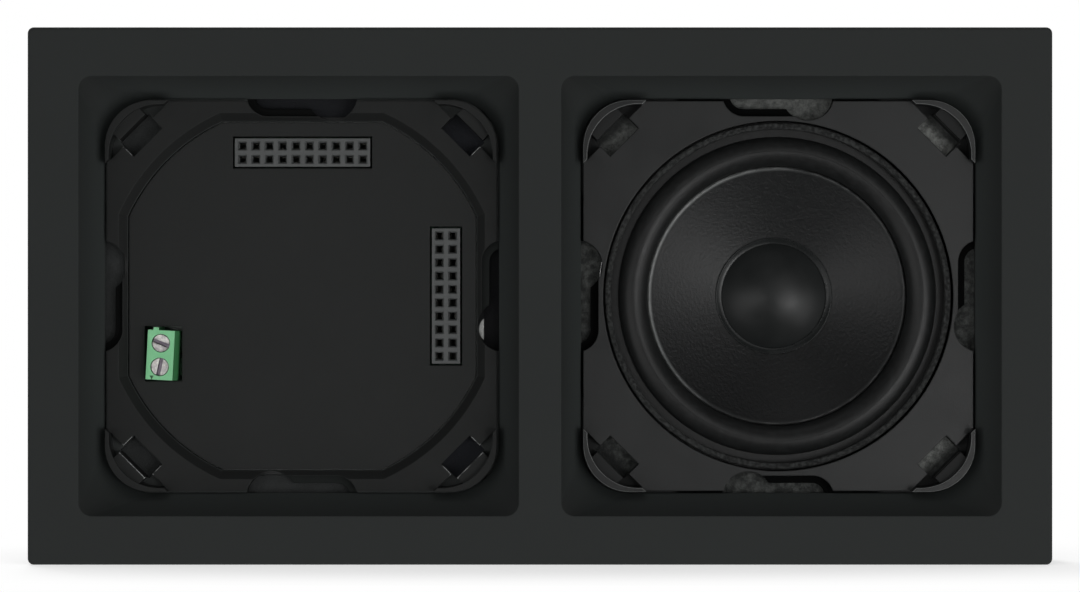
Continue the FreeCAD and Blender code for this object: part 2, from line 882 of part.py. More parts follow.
def capacitors():
    cans = []
    for side in (-0.5, 0.5):
        can = rod(0, 0, capacitor_radius, power_board_front - capacitor_height, power_board_front)
        groove = power_board_front - capacitor_groove_height
        band = ring(capacitor_radius - capacitor_groove, capacitor_radius + capacitor_groove,
                    groove - capacitor_groove, groove + capacitor_groove)
        cans.append(can.cut(band).translated(Vector(capacitor_x, 0, side * capacitor_spacing)))
    return Part.makeCompound(cans)


def link_places():
    places = []
    for column in range(link_columns):
        for row in (-0.5, 0.5):
            x = link_x + (column - (link_columns - 1) / 2) * link_pitch
            places.append((x, link_z + row * link_pitch))
    return places


def link_socket():
    back = power_board_front - link_plug_height
    body = block(link_x, link_z, link_columns * link_pitch, 2 * link_pitch, main_board_back, back)
    size = link_pin + 2 * link_pin_clearance
    front = back - link_pin_reach - link_pin_clearance
    return body.cut(Part.makeCompound([block(x, z, size, size, front, back) for x, z in link_places()]))


def link_plug():
    front = power_board_front - link_plug_height
    body = block(link_x, link_z, link_columns * link_pitch, 2 * link_pitch, front, power_board_front)
    return body.cut(Part.makeCompound([block(x, z, link_pin, link_pin, front, power_board_front)
                                       for x, z in link_places()]))


def link_pins():
    front = power_board_front - link_plug_height - link_pin_reach
    return Part.makeCompound([block(x, z, link_pin, link_pin, front, power_board_front)
                              for x, z in link_places()])


# Loudspeaker driver


def cone_y(radius):
    run = (cone_rim_inner - radius) / (cone_rim_inner - former_radius)
    return cone_rim_front + cone_depth * run + 4 * cone_bow * run * (1 - run)


def driver_surround():
    apex = (roll_outer + roll_inner) / 2
    top = surround_front - roll_height
    lip_back = lip_front + surround_sheet
    front_arc = Part.Arc(at_radius(roll_outer, surround_front), at_radius(apex, top),
                         at_radius(roll_inner, surround_front))
    back_arc = Part.Arc(at_radius(roll_inner + surround_sheet, carrier_back),
                        at_radius(apex, top + surround_sheet),
                        at_radius(roll_outer - surround_sheet, carrier_back))
    flange_end = driver_radius - gasket_width / 4
    edges = path([at_radius(flange_end, surround_front), at_radius(roll_outer, surround_front)])
    edges.append(front_arc.toShape())
    lip_end = roll_inner - lip_width
    edges += path([at_radius(roll_inner, surround_front), at_radius(roll_inner, lip_front),
                   at_radius(lip_end, lip_front), at_radius(lip_end, lip_back),
                   at_radius(roll_inner + surround_sheet, lip_back),
                   at_radius(roll_inner + surround_sheet, carrier_back)])
    edges.append(back_arc.toShape())
    edges += path([at_radius(roll_outer - surround_sheet, carrier_back),
                   at_radius(flange_end, carrier_back), at_radius(flange_end, surround_front)])
    return spun(edges)


def cone_arc(shift):
    middle = (cone_rim_inner + former_radius) / 2
    return [at_radius(r, cone_y(r) + shift) for r in (cone_rim_inner, middle, former_radius)]


def driver_cone():
    front = cone_arc(0.0)
    back = cone_arc(cone_sheet)
    edges = [Part.Arc(*front).toShape()]
    edges += path([front[2], back[2]])
    edges.append(Part.Arc(*reversed(back)).toShape())
    rim_outer = roll_inner - cone_rim_clearance
    rim = [at_radius(rim_outer, lip_front), at_radius(rim_outer, cone_rim_front)]
    edges += path([back[0]] + rim + [front[0]])
    return spun(edges)


def dome_arc(radius, centre_y, foot_y):
    half_angle = math.acos((centre_y - foot_y) / radius)
    points = []
    for share in (0.0, 0.5, 1.0):
        angle = half_angle * share
        points.append(at_radius(radius * math.sin(angle), centre_y - radius * math.cos(angle)))
    return points


def driver_dust_cap():
    foot = cone_y(cap_radius)
    dome_radius = (cap_radius**2 + cap_height**2) / (2 * cap_height)
    centre = foot - cap_height + dome_radius
    outer = dome_arc(dome_radius, centre, foot)
    inner = dome_arc(dome_radius - cap_sheet, centre, foot)
    edges = [Part.Arc(*outer).toShape()]
    edges += path([outer[2], inner[2]])
    edges.append(Part.Arc(*reversed(inner)).toShape())
    edges += path([inner[0], outer[0]])
    return spun(edges)


def driver_basket():
    outer_drop = basket_sheet / 2
    profile = [(basket_throat, carrier_back), (driver_rim_radius, carrier_back),
               (driver_rim_radius, carrier_back + basket_sheet),
               (basket_throat + basket_sheet, carrier_back + basket_sheet),
               (basket_ledge_outer + basket_sheet, basket_ledge_y + outer_drop),
               (basket_ledge_outer + basket_sheet, basket_ledge_y + basket_sheet),
               (basket_ledge_inner + basket_sheet, basket_ledge_y + basket_sheet),
               (basket_ledge_inner + basket_sheet, top_plate_front), (basket_floor_hole, top_plate_front),
               (basket_floor_hole, basket_floor_y), (basket_ledge_inner, basket_floor_y),
               (basket_ledge_inner, basket_ledge_y), (basket_ledge_outer, basket_ledge_y)]
    points = [at_radius(r, y) for r, y in profile]
    shell = spun(path(points + points[:1]))
    ear_back = carrier_back + basket_sheet
    ear = ear_outline(basket_throat + basket_sheet, 0.0, carrier_back, ear_back)
    shell = fused([shell] + four_ways(ear))
    holes = four_ways(turned(rod(ear_radius, 0, ear_hole_radius, carrier_back, ear_back), corner_angle))
    window_top = carrier_back + basket_sheet + basket_window_margin
    window_foot = basket_ledge_y - basket_window_margin
    window_inner = basket_ledge_outer - basket_sheet
    corners = [at_radius(window_inner, window_top), at_radius(driver_radius, window_top),
               at_radius(driver_radius, window_foot), at_radius(window_inner, window_foot)]
    wedge = Part.Face(Part.Wire(path(corners + corners[:1]))).revolve(origin, y_axis, basket_window_angle)
    windows = four_ways(turned(wedge, -basket_window_angle / 2))
    return shell.cut(Part.makeCompound(holes + windows))


def spider_edges():
    start = basket_ledge_inner - spider_sheet
    end = former_radius + spider_sheet
    rim_y = basket_ledge_y - spider_sheet
    points = [at_radius(basket_ledge_outer - spider_sheet, rim_y), at_radius(start, rim_y)]
    steps = 2 * spider_waves
    for index in range(1, steps):
        run = index / steps
        wave = spider_wave_height if index % 2 else -spider_wave_height
        points.append(at_radius(start + (end - start) * run, rim_y + spider_drop * run + wave))
    points.append(at_radius(end, rim_y + spider_drop))
    return points


def driver_spider():
    front = spider_edges()
    back = [point + Vector(0, spider_sheet, 0) for point in reversed(front)]
    neck_top = front[-1].y - spider_neck_height + spider_sheet
    neck_radius = former_radius + spider_neck_gap
    neck = [at_radius(front[-1].x, neck_top), at_radius(neck_radius, neck_top),
            at_radius(neck_radius, back[0].y)]
    return spun(path(front + neck + back + front[:1]))


def driver_yoke():
    profile = [(pole_vent_radius, top_plate_front), (pole_radius, top_plate_front),
               (pole_radius, magnet_back), (top_plate_radius, magnet_back),
               (top_plate_radius, yoke_back - yoke_chamfer),
               (top_plate_radius - yoke_chamfer, yoke_back), (pole_vent_radius, yoke_back)]
    points = [at_radius(r, y) for r, y in profile]
    return spun(path(points + points[:1]))


def tag_board_back():
    return basket_ledge_y + basket_sheet + tag_board_thickness


def tag_board():
    top = -basket_ledge_inner - basket_sheet - tag_board_gap
    return box(-tag_board_length / 2, tag_board_length / 2, basket_ledge_y + basket_sheet, tag_board_back(),
               top - tag_board_width, top)


def tag_places():
    return [side * tag_spacing / 2 for side in (-1, 1)]


def solder_tags():
    tags = []
    foot = -basket_ledge_outer
    front = tag_board_back()
    back = front + tag_thickness
    for x in tag_places():
        tag = block(x, foot - tag_length / 2, tag_width, tag_length, front, back)
        hole_z = foot - tag_length + tag_width / 2
        tags.append(tag.cut(rod(x, hole_z, tag_hole_radius, front, back)))
    return Part.makeCompound(tags)


def lead_path(x):
    start_y = cone_y(lead_start_radius) + cone_sheet + lead_radius
    exit_y = basket_ledge_y - basket_window_margin - 3 * lead_radius
    exit_z = -basket_throat - lead_radius
    end_y = tag_board_back() - lead_radius / 2
    end_z = exit_z - lead_bend
    return [Vector(x, start_y, -lead_start_radius), Vector(x, exit_y, exit_z), Vector(x, end_y, end_z)]


def rounded_path(points, radius):
    a, b, c = points
    before = (a - b).normalize()
    after = (c - b).normalize()
    half_turn = before.getAngle(after) / 2
    setback = radius / math.tan(half_turn)
    first = b + before * setback
    last = b + after * setback
    inward = (before + after).normalize()
    middle = b + inward * (radius / math.sin(half_turn) - radius)
    return Part.Wire([Part.LineSegment(a, first).toShape(), Part.Arc(first, middle, last).toShape(),
                      Part.LineSegment(last, c).toShape()])


def lead_wires():
    wires = []
    for x in tag_places():
        points = lead_path(x)
        route = rounded_path(points, lead_bend)
        section = Part.Wire(Part.makeCircle(lead_radius, points[0], points[1] - points[0]))
        wires.append(route.makePipeShell([section], True, False))
    return Part.makeCompound(wires)


# Nodes


def radio_nodes():
    nodes = {
        "radio_carrier": carrier(radio_opening()),
        "radio_seal": seal(radio_seal_opening(), cover_radius),
        "radio_front_cover": radio_cover(),
        "radio_rear_housing": radio_housing(),
        "radio_screws": insert_screws(carrier_back + housing_ear_thickness),
        "main_board": board(main_board_front),
        "power_board": board(power_board_front),
        "board_spacers": board_spacers(),
        "board_screws": board_screws(),
        "speaker_terminal_body": place_terminal(terminal_body()),
        "speaker_terminal_screws": place_terminal(terminal_screws()),
        "speaker_terminal_clamps": place_terminal(terminal_clamps()),
        "mains_terminal_body": mains_body(),
        "mains_terminal_screws": mains_screws(),
        "tuner_shield": tuner_shield(),
        "amplifier_chip": amplifier_chip(),
        "transformer_core": transformer_core(),
        "transformer_winding": transformer_winding(),
        "reservoir_capacitors": capacitors(),
        "board_link_socket": link_socket(),
        "board_link_plug": link_plug(),
        "board_link_pins": link_pins(),
    }
    for name, turn in socket_turns().items():
        nodes[name + "_socket_body"] = place_socket(socket_body(), turn)
        contacts = Part.makeCompound([socket_contact(x, z) for x, z in contact_places()])
        nodes[name + "_socket_contacts"] = place_socket(contacts, turn)
    return nodes


def speaker_nodes():
    coil_front = coil_middle - coil_height / 2
    return {
        "speaker_carrier": carrier(driver_opening()),
        "speaker_seal": seal(rod(0, 0, driver_rim_radius + seal_clearance, carrier_back, 0), driver_radius),
        "speaker_screws": insert_screws(carrier_back + basket_sheet),
        "speaker_basket": driver_basket(),
        "speaker_gasket": ring(driver_radius - gasket_width, driver_radius, gasket_front, surround_front),
        "cone_surround": driver_surround(),
        "speaker_cone": driver_cone(),
        "dust_cap": driver_dust_cap(),
        "coil_former": ring(former_inner_radius, former_radius, neck_y, neck_y + former_length),
        "voice_coil": ring(former_radius, coil_radius, coil_front, coil_front + coil_height),
        "spider": driver_spider(),
        "top_plate": ring(coil_radius + coil_gap, top_plate_radius, top_plate_front, top_plate_back),
        "magnet": ring(magnet_bore, magnet_radius, top_plate_back, magnet_back),
        "yoke": driver_yoke(),
        "tag_board": tag_board(),
        "solder_tags": solder_tags(),
        "lead_wires": lead_wires(),
    }


def build():
    os.makedirs("parts", exist_ok=True)
    nodes = {"cover_frame": cover_frame()}
    for name, shape in radio_nodes().items():
        nodes[name] = shape.translated(Vector(radio_x, 0, 0))
    for name, shape in speaker_nodes().items():
        nodes[name] = shape.translated(Vector(speaker_x, 0, 0))
    for name, shape in nodes.items():
        solids = len(shape.Solids)
        print(f"{name}: {solids} solids, {shape.Volume:.1f} mm3, valid {shape.isValid()}")
        shape.exportStep(f"parts/{name}.step")


build()
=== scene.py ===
import math
import random

import bpy
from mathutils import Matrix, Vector


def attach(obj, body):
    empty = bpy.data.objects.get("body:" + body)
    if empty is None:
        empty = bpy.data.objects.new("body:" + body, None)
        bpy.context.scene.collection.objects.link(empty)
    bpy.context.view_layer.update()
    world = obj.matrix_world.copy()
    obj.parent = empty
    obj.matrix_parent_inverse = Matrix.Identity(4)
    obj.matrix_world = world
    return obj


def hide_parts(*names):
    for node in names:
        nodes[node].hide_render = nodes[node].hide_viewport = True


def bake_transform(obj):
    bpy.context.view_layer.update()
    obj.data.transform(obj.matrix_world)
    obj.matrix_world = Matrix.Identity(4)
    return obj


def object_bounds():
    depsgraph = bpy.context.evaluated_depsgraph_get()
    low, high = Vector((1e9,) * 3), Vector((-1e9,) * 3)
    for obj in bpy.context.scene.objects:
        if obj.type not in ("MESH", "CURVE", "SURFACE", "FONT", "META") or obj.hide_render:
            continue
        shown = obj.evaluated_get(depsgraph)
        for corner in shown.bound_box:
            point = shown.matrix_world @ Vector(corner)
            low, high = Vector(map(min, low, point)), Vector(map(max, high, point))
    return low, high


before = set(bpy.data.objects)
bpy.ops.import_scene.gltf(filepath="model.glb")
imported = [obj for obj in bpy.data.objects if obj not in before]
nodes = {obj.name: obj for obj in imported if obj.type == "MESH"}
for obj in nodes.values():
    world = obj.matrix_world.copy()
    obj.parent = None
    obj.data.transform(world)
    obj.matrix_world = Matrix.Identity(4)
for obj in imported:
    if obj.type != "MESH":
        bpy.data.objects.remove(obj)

cadLow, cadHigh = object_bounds()
print("frame loaded with", len(nodes), "nodes")


# Small helpers: sizes are written in millimetres, the scene is in metres

def mm(size):
    return size * 0.001


def perMetre(size):
    return 1000.0 / size


def hexToLinear(code):
    channels = [int(code[i:i + 2], 16) / 255 for i in (1, 3, 5)]
    return [c / 12.92 if c <= 0.04045 else ((c + 0.055) / 1.055) ** 2.4 for c in channels] + [1.0]


def addNode(tree, kind, settings, links):
    node = tree.nodes.new("ShaderNode" + kind)
    for key, value in settings.items():
        if isinstance(key, str) and hasattr(node, key):
            setattr(node, key, value)
        else:
            node.inputs[key].default_value = value
    for key, source in links.items():
        tree.links.new(source, node.inputs[key])
    return node


# Camera on the axis of the frame, as the photograph was taken

view = {"distance": 474.0, "lens": 104.96, "sensor": 36.0}

cameraData = bpy.data.cameras.new("camera")
cameraData.lens = view["lens"]
cameraData.sensor_width = view["sensor"]
camera = bpy.data.objects.new("camera", cameraData)
camera.location = (0.0, -mm(view["distance"]), 0.0)
camera.rotation_euler = (math.pi / 2, 0.0, 0.0)
bpy.context.scene.collection.objects.link(camera)
bpy.context.scene.camera = camera
bpy.context.scene.view_settings.view_transform = "Standard"
print("camera set")


# Soft boxes: the larger one stands low at the right, a weaker one at the left

softBoxes = {
    "rightBox": {"place": (275, -535, -95), "size": 180, "power": 0.46},
    "rightWide": {"place": (500, -360, -170), "size": 420, "power": 0.5},
    "leftBox": {"place": (-285, -500, -60), "size": 180, "power": 0.13},
    "leftWide": {"place": (-480, -350, -150), "size": 420, "power": 0.32},
    "upperBox": {"place": (220, -520, 130), "size": 320, "power": 0.12},
    "leftCard": {"place": (-119, -520, -20), "size": 60, "power": 0.07},
    "topBox": {"place": (-60, -200, 620), "size": 420, "power": 0.15},
    "rearBox": {"place": (-260, 620, 380), "size": 420, "power": 2.2},
}

for name, box in softBoxes.items():
    lampData = bpy.data.lights.new(name, "AREA")
    lampData.shape = "SQUARE"
    lampData.size = mm(box["size"])
    lampData.energy = box["power"]
    lamp = bpy.data.objects.new(name, lampData)
    lamp.location = [mm(v) for v in box["place"]]
    lamp.rotation_euler = (-lamp.location).to_track_quat("-Z", "Y").to_euler()
    lamp.visible_camera = False
    bpy.context.scene.collection.objects.link(lamp)

# White surroundings for the eye and for mirrors, darker towards the room behind the camera

room = {"ambient": 0.66, "lean": (0.06, 0.0, -0.35), "mirrorDark": 0.02, "mirrorWhite": 1.0,
        "darkUntil": 0.05, "whiteFrom": 0.6}

world = bpy.data.worlds.new("studio")
world.use_nodes = True
bpy.context.scene.world = world
tree = world.node_tree
sky = tree.nodes["Background"]
rays = addNode(tree, "LightPath", {}, {})
heading = addNode(tree, "TexCoord", {}, {}).outputs["Generated"]
aim = addNode(tree, "SeparateXYZ", {}, {0: heading})
lean = addNode(tree, "VectorMath", {"operation": "DOT_PRODUCT", 1: room["lean"]}, {0: heading})
fill = addNode(tree, "Math", {"operation": "ADD", 1: room["ambient"]}, {0: lean.outputs["Value"]})
mirror = addNode(tree, "MapRange", {"From Min": room["darkUntil"], "From Max": room["whiteFrom"],
                                    "To Min": room["mirrorDark"], "To Max": room["mirrorWhite"]},
                 {"Value": aim.outputs["Y"]})
straight = addNode(tree, "Math", {"operation": "MAXIMUM"},
                   {0: rays.outputs["Is Camera Ray"], 1: rays.outputs["Is Transmission Ray"]})
soft = addNode(tree, "Mix", {}, {0: rays.outputs["Is Glossy Ray"], 2: fill.outputs[0], 3: mirror.outputs[0]})
level = addNode(tree, "Mix", {3: 1.0}, {0: straight.outputs[0], 2: soft.outputs[0]})
tree.links.new(level.outputs[0], sky.inputs["Strength"])
sky.inputs["Color"].default_value = (1.0, 1.0, 1.0, 1.0)

# Pale floor: it keeps the shadow near the part and fades into the white background

ground = {"reach": 3.0, "near": 18, "far": 48, "squeeze": (0.25, 1.0, 1.0), "colour": "#f0f0f0", "lift": 0.5}

floorMesh = bpy.data.meshes.new("floor")
half = ground["reach"]
floorCorners = [(-half, -half, 0), (half, -half, 0), (half, half, 0), (-half, half, 0)]
floorMesh.from_pydata(floorCorners, [], [(0, 1, 2, 3)])
floor = bpy.data.objects.new("floor", floorMesh)
floor.location = (0.0, 0.0, cadLow.z)
floor.visible_shadow = False
floor.visible_glossy = False
floor.visible_diffuse = False
bpy.context.scene.collection.objects.link(floor)

floorPaint = bpy.data.materials.new("matt white board")
floorPaint.use_nodes = True
tree = floorPaint.node_tree
tree.nodes.remove(tree.nodes["Principled BSDF"])
rays = addNode(tree, "LightPath", {}, {})
place = addNode(tree, "TexCoord", {}, {}).outputs["Object"]
squeeze = addNode(tree, "VectorMath", {"operation": "MULTIPLY", 1: ground["squeeze"]}, {0: place})
reach = addNode(tree, "VectorMath", {"operation": "LENGTH"}, {0: squeeze.outputs[0]})
fade = addNode(tree, "MapRange", {"interpolation_type": "SMOOTHSTEP", "From Min": mm(ground["near"]),
                                  "From Max": mm(ground["far"])}, {"Value": reach.outputs["Value"]})
lit = addNode(tree, "BsdfDiffuse", {"Color": hexToLinear(ground["colour"])}, {})
lift = addNode(tree, "Emission", {}, {})
seen = rays.outputs["Is Camera Ray"]
liftLevel = addNode(tree, "Math", {"operation": "MULTIPLY", 1: ground["lift"]}, {0: seen})
tree.links.new(liftLevel.outputs[0], lift.inputs["Strength"])
near = addNode(tree, "AddShader", {}, {0: lit.outputs[0], 1: lift.outputs[0]})
white = addNode(tree, "Emission", {"Strength": 1.0}, {})
away = addNode(tree, "Math", {"operation": "MULTIPLY"}, {0: fade.outputs[0], 1: seen})
both = addNode(tree, "MixShader", {}, {0: away.outputs[0], 1: near.outputs[0], 2: white.outputs[0]})
tree.links.new(both.outputs[0], tree.nodes["Material Output"].inputs["Surface"])
floorMesh.materials.append(floorPaint)
print("studio set")


# Materials

def startMaterial(name, colour, roughness, metallic=0.0, ior=None):
    material = bpy.data.materials.new(name)
    material.use_nodes = True
    shader = material.node_tree.nodes["Principled BSDF"]
    shader.inputs["Base Color"].default_value = hexToLinear(colour)
    shader.inputs["Roughness"].default_value = roughness
    shader.inputs["Metallic"].default_value = metallic
    if ior:
        shader.inputs["IOR"].default_value = ior
    return material, material.node_tree, shader


# Skin of a moulded or sheet piece: grain in the surface, cloudy tone, softened and rubbed edges
def mouldedSkin(name, look):
    material, tree, shader = startMaterial(name, look["colour"], look["roughness"], 0.0, look["ior"])
    place = addNode(tree, "TexCoord", {}, {}).outputs["Object"]
    grain = addNode(tree, "TexNoise", {"Scale": perMetre(look["grainMm"]), "Detail": 3.0, "Roughness": 0.6},
                    {"Vector": place})
    cloud = addNode(tree, "TexNoise", {"Scale": perMetre(look["cloudMm"]), "Detail": 5.0, "Roughness": 0.65},
                    {"Vector": place})
    rounded = addNode(tree, "Bevel", {"samples": 6, "Radius": mm(look["edgeMm"])}, {})
    bump = addNode(tree, "Bump", {"Strength": look["grainStrength"], "Distance": mm(look["grainDepthMm"])},
                   {"Height": grain.outputs[0], "Normal": rounded.outputs[0]})
    tree.links.new(bump.outputs[0], shader.inputs["Normal"])
    facing = addNode(tree, "NewGeometry", {}, {}).outputs["True Normal"]
    turn = addNode(tree, "VectorMath", {"operation": "DOT_PRODUCT"}, {0: rounded.outputs[0], 1: facing})
    edge = addNode(tree, "MapRange", {"From Min": 0.99, "From Max": 0.8, "To Min": 0.0,
                                      "To Max": look["edgeShare"]}, {"Value": turn.outputs["Value"]})
    share = addNode(tree, "MapRange", {"From Min": 0.42, "From Max": 0.72, "To Min": 0.0,
                                       "To Max": look["cloudShare"]}, {"Value": cloud.outputs[0]})
    tone = addNode(tree, "Mix", {"data_type": "RGBA", 6: hexToLinear(look["colour"]),
                                 7: hexToLinear(look["cloudColour"])}, {0: share.outputs[0]})
    edgeTone = addNode(tree, "Mix", {"data_type": "RGBA", 7: hexToLinear(look["edgeColour"])},
                   {0: edge.outputs[0], 6: tone.outputs[2]})
    tree.links.new(edgeTone.outputs[2], shader.inputs["Base Color"])
    rough = addNode(tree, "MapRange", {"From Min": 0.3, "From Max": 0.7,
                                       "To Min": look["roughness"] - look["roughSpread"],
                                       "To Max": look["roughness"] + look["roughSpread"]},
                    {"Value": cloud.outputs[0]})
    tree.links.new(rough.outputs[0], shader.inputs["Roughness"])
    return material, tree, shader, place


def dress(material, *names):
    for name in names:
        nodes[name].data.materials.clear()
        nodes[name].data.materials.append(material)


# Middle of each insert, from which the masks of its materials are measured
insertAxis = {"radio": (-35.5, 0.0, 0.0), "speaker": (35.5, 0.0, 0.0)}


# What masks go by: place, lean of the surface, and distances from an axis into the wall
def measure(tree, place, axis):
    spot = addNode(tree, "SeparateXYZ", {}, {0: place})
    normal = addNode(tree, "NewGeometry", {}, {}).outputs["True Normal"]
    lean = addNode(tree, "SeparateXYZ", {}, {0: normal})
    fromAxis = addNode(tree, "VectorMath", {"operation": "SUBTRACT", 1: [mm(v) for v in axis]}, {0: place})
    level = addNode(tree, "VectorMath", {"operation": "MULTIPLY", 1: (1.0, 0.0, 1.0)},
                    {0: fromAxis.outputs[0]})
    radius = addNode(tree, "VectorMath", {"operation": "LENGTH"}, {0: level.outputs[0]})
    size = addNode(tree, "VectorMath", {"operation": "ABSOLUTE"}, {0: level.outputs[0]})
    sides = addNode(tree, "SeparateXYZ", {}, {0: size.outputs[0]})
    by = {"level": level.outputs[0], "radius": radius.outputs["Value"], "height": sides.outputs["Z"]}
    for letter in "XYZ":
        by[letter.lower()] = spot.outputs[letter]
        by["lean" + letter] = lean.outputs[letter]
    for name, how in (("outward", "ADD"), ("across", "SUBTRACT"), ("widest", "MAXIMUM")):
        both = addNode(tree, "Math", {"operation": how}, {0: sides.outputs["X"], 1: sides.outputs["Z"]})
        by[name] = both.outputs[0]
    by["offDiagonal"] = addNode(tree, "Math", {"operation": "ABSOLUTE"}, {0: by["across"]}).outputs[0]
    return by


# A mask rises from 0 to 1, or to a given top, between two values of a measure, or joins two earlier masks
def makeMasks(tree, by, bands):
    masks = {}
    for name, (value, first, second, *top) in bands.items():
        if value in by:
            unit = 1.0 if value.startswith("lean") else mm(1)
            settings = {"From Min": first * unit, "From Max": second * unit, "To Max": top[0] if top else 1.0}
            mask = addNode(tree, "MapRange", settings, {"Value": by[value]})
        else:
            mask = addNode(tree, "Math", {"operation": value}, {0: masks[first], 1: masks[second]})
        masks[name] = mask.outputs[0]
    return masks


# Colours laid over the tone of a material one after the other, each where all its masks meet
def paintOver(tree, shader, masks, layers):
    tone = shader.inputs["Base Color"].links[0].from_socket
    for colour, first, *others in layers:
        share = masks[first]
        for name in others:
            share = addNode(tree, "Math", {"operation": "MULTIPLY"}, {0: share, 1: masks[name]}).outputs[0]
        layer = addNode(tree, "Mix", {"data_type": "RGBA"}, {0: share, 6: tone})
        if isinstance(colour, str):
            layer.inputs[7].default_value = hexToLinear(colour)
        else:
            tree.links.new(colour, layer.inputs[7])
        tone = layer.outputs[2]
    tree.links.new(tone, shader.inputs["Base Color"])


# ABS from a spark-eroded mould: an even, fine-grained satin black
frameLook = {"colour": "#1d2120", "cloudColour": "#212524", "edgeColour": "#2c302f", "roughness": 0.78,
             "ior": 1.53, "grainMm": 0.28, "grainDepthMm": 0.015, "grainStrength": 0.4, "cloudMm": 14.0,
             "cloudShare": 0.4, "edgeMm": 0.3, "edgeShare": 0.3, "roughSpread": 0.03}
frameBands = {
    "steep": ("leanY", -0.75, -0.6), "leaning": ("leanY", -0.1, -0.25), "deep": ("y", -10.5, -4.5),
    "corner": ("leanBoth", 0.02, 0.2, 0.8), "atRadio": ("x", 1, -1), "inThroat": ("y", -4.3, -4.2)}
frameAbs, tree, shader, place = mouldedSkin("ABS spark eroded black", frameLook)
by = measure(tree, place, insertAxis["radio"])
cross = addNode(tree, "Math", {"operation": "MULTIPLY"}, {0: by["leanX"], 1: by["leanZ"]})
by["leanBoth"] = addNode(tree, "Math", {"operation": "ABSOLUTE"}, {0: cross.outputs[0]}).outputs[0]
masks = makeMasks(tree, by, frameBands)
# Painted light and shade in the windows: the ramps are painted paler, painted light; the corner facets of the
# ramps are painted darker, painted shade; the throat round the radio is painted paler, painted light in the
# gap
cornerShadeTone = addNode(tree, "Mix", {"data_type": "RGBA", 6: hexToLinear("#161918"), 7: hexToLinear("#1e2322")},
               {0: masks["deep"]})
paintOver(tree, shader, masks, [("#292e2d", "steep", "leaning", "deep"), (cornerShadeTone.outputs[2], "corner"),
                                ("#2f3332", "atRadio", "inThroat")])
dress(frameAbs, "cover_frame")

# Polycarbonate moulded smooth: darker than the frame, with a duller sheen
radioCarrierLook = {"colour": "#0e1110", "cloudColour": "#111413", "edgeColour": "#404342", "roughness": 0.7,
                    "ior": 1.58, "grainMm": 0.3, "grainDepthMm": 0.015, "grainStrength": 0.4, "cloudMm": 6.0,
                    "cloudShare": 0.6, "edgeMm": 0.22, "edgeShare": 0.2, "roughSpread": 0.06}
radioCarrierBands = {
    "sloped": ("leanY", -0.97, -0.85), "leaning": ("leanY", -0.3, -0.45), "upright": ("leanY", -0.3, -0.1),
    "lower": ("y", -4.8, -3.9), "sunk": ("y", -3.4, -3.3), "below": ("y", -4.8, -4.7),
    "onFlange": ("y", -3.45, -3.49), "underPlate": ("y", -4.75, -4.65), "onPlate": ("y", -4.6, -4.75),
    "inFlats": ("widest", 26.2, 26.12), "inArcs": ("radius", 28.85, 28.75), "atBoss": ("widest", 27.5, 27.7),
    "atRight": ("x", -9.2, -9.0), "atFoot": ("z", -18, -20), "lowCorner": ("z", 1, -1),
    "offCorner": ("outward", 45, 44), "past": ("outward", 46.2, 46.4), "short": ("outward", 50.6, 50.4),
    "near": ("offDiagonal", 4.7, 4.6), "atEnd": ("across", 3.7, 3.9),
    "paleLedgeSlot": ("MAXIMUM", "atFoot", "atRight"), "glintSide": ("MAXIMUM", "lowCorner", "atEnd"),
    "inside": ("MULTIPLY", "inFlats", "inArcs"), "sunkSide": ("MULTIPLY", "offCorner", "sunk"),
    "sunkCover": ("MULTIPLY", "sunkSide", "inside"), "ledge": ("SUBTRACT", "sunkSide", "sunkCover")}
radioCarrierPc, tree, shader, place = mouldedSkin("polycarbonate moulded radio carrier", radioCarrierLook)
masks = makeMasks(tree, measure(tree, place, insertAxis["radio"]), radioCarrierBands)
masks["lower"].node.interpolation_type = "SMOOTHSTEP"
# The key ledges are painted near black, painted shade, a little less dark at the foot and right-hand keyholes
ledgeTone = addNode(tree, "Mix", {"data_type": "RGBA", 6: hexToLinear("#050606"), 7: hexToLinear("#1c1f1e")},
                    {0: masks["paleLedgeSlot"]})
# Pale flecked lines on the plate-level edges at the ends of the corner pockets: a painted highlight
bend = addNode(tree, "Bevel", {"samples": 6, "Radius": mm(0.3)}, {})
normal = addNode(tree, "NewGeometry", {}, {}).outputs["True Normal"]
turn = addNode(tree, "VectorMath", {"operation": "DOT_PRODUCT"}, {0: bend.outputs[0], 1: normal})
onEdge = addNode(tree, "MapRange", {"From Min": 0.97, "From Max": 0.85}, {"Value": turn.outputs["Value"]})
fleck = addNode(tree, "TexNoise", {"Scale": perMetre(0.9), "Detail": 2.0}, {"Vector": place})
flecked = addNode(tree, "MapRange", {"From Min": 0.36, "From Max": 0.56}, {"Value": fleck.outputs[0]})
masks.update(onEdge=onEdge.outputs[0], flecked=flecked.outputs[0])
# Layers in order: the sloped ring round the cover painted darker, painted shade; sunk floors painted paler,
# painted light against their shade; upright walls deeper than the plate painted near black, painted shade;
# the sunk gap inside the cover's outline painted paler, painted light; the key ledges in painted shade; the
# flange round the boss under the plate's front painted paler, painted light in the gap; then the painted
# highlight lines
paintOver(tree, shader, masks, [
    ("#0d100f", "sloped", "leaning", "lower"), ("#2c302f", "sunk"), ("#060707", "upright", "below"),
    ("#3c403f", "inside", "sunk"), (ledgeTone.outputs[2], "ledge"),
    ("#2f3332", "onFlange", "underPlate", "atBoss"),
    ("#a0a3a2", "past", "short", "near", "glintSide", "onEdge", "onPlate", "flecked")])
# Less sheen on the key ledges, so that their painted shade stays black
sheen = addNode(tree, "MapRange", {"To Min": 0.5, "To Max": 0.12}, {"Value": masks["ledge"]})
tree.links.new(sheen.outputs[0], shader.inputs["Specular IOR Level"])
dress(radioCarrierPc, "radio_carrier")
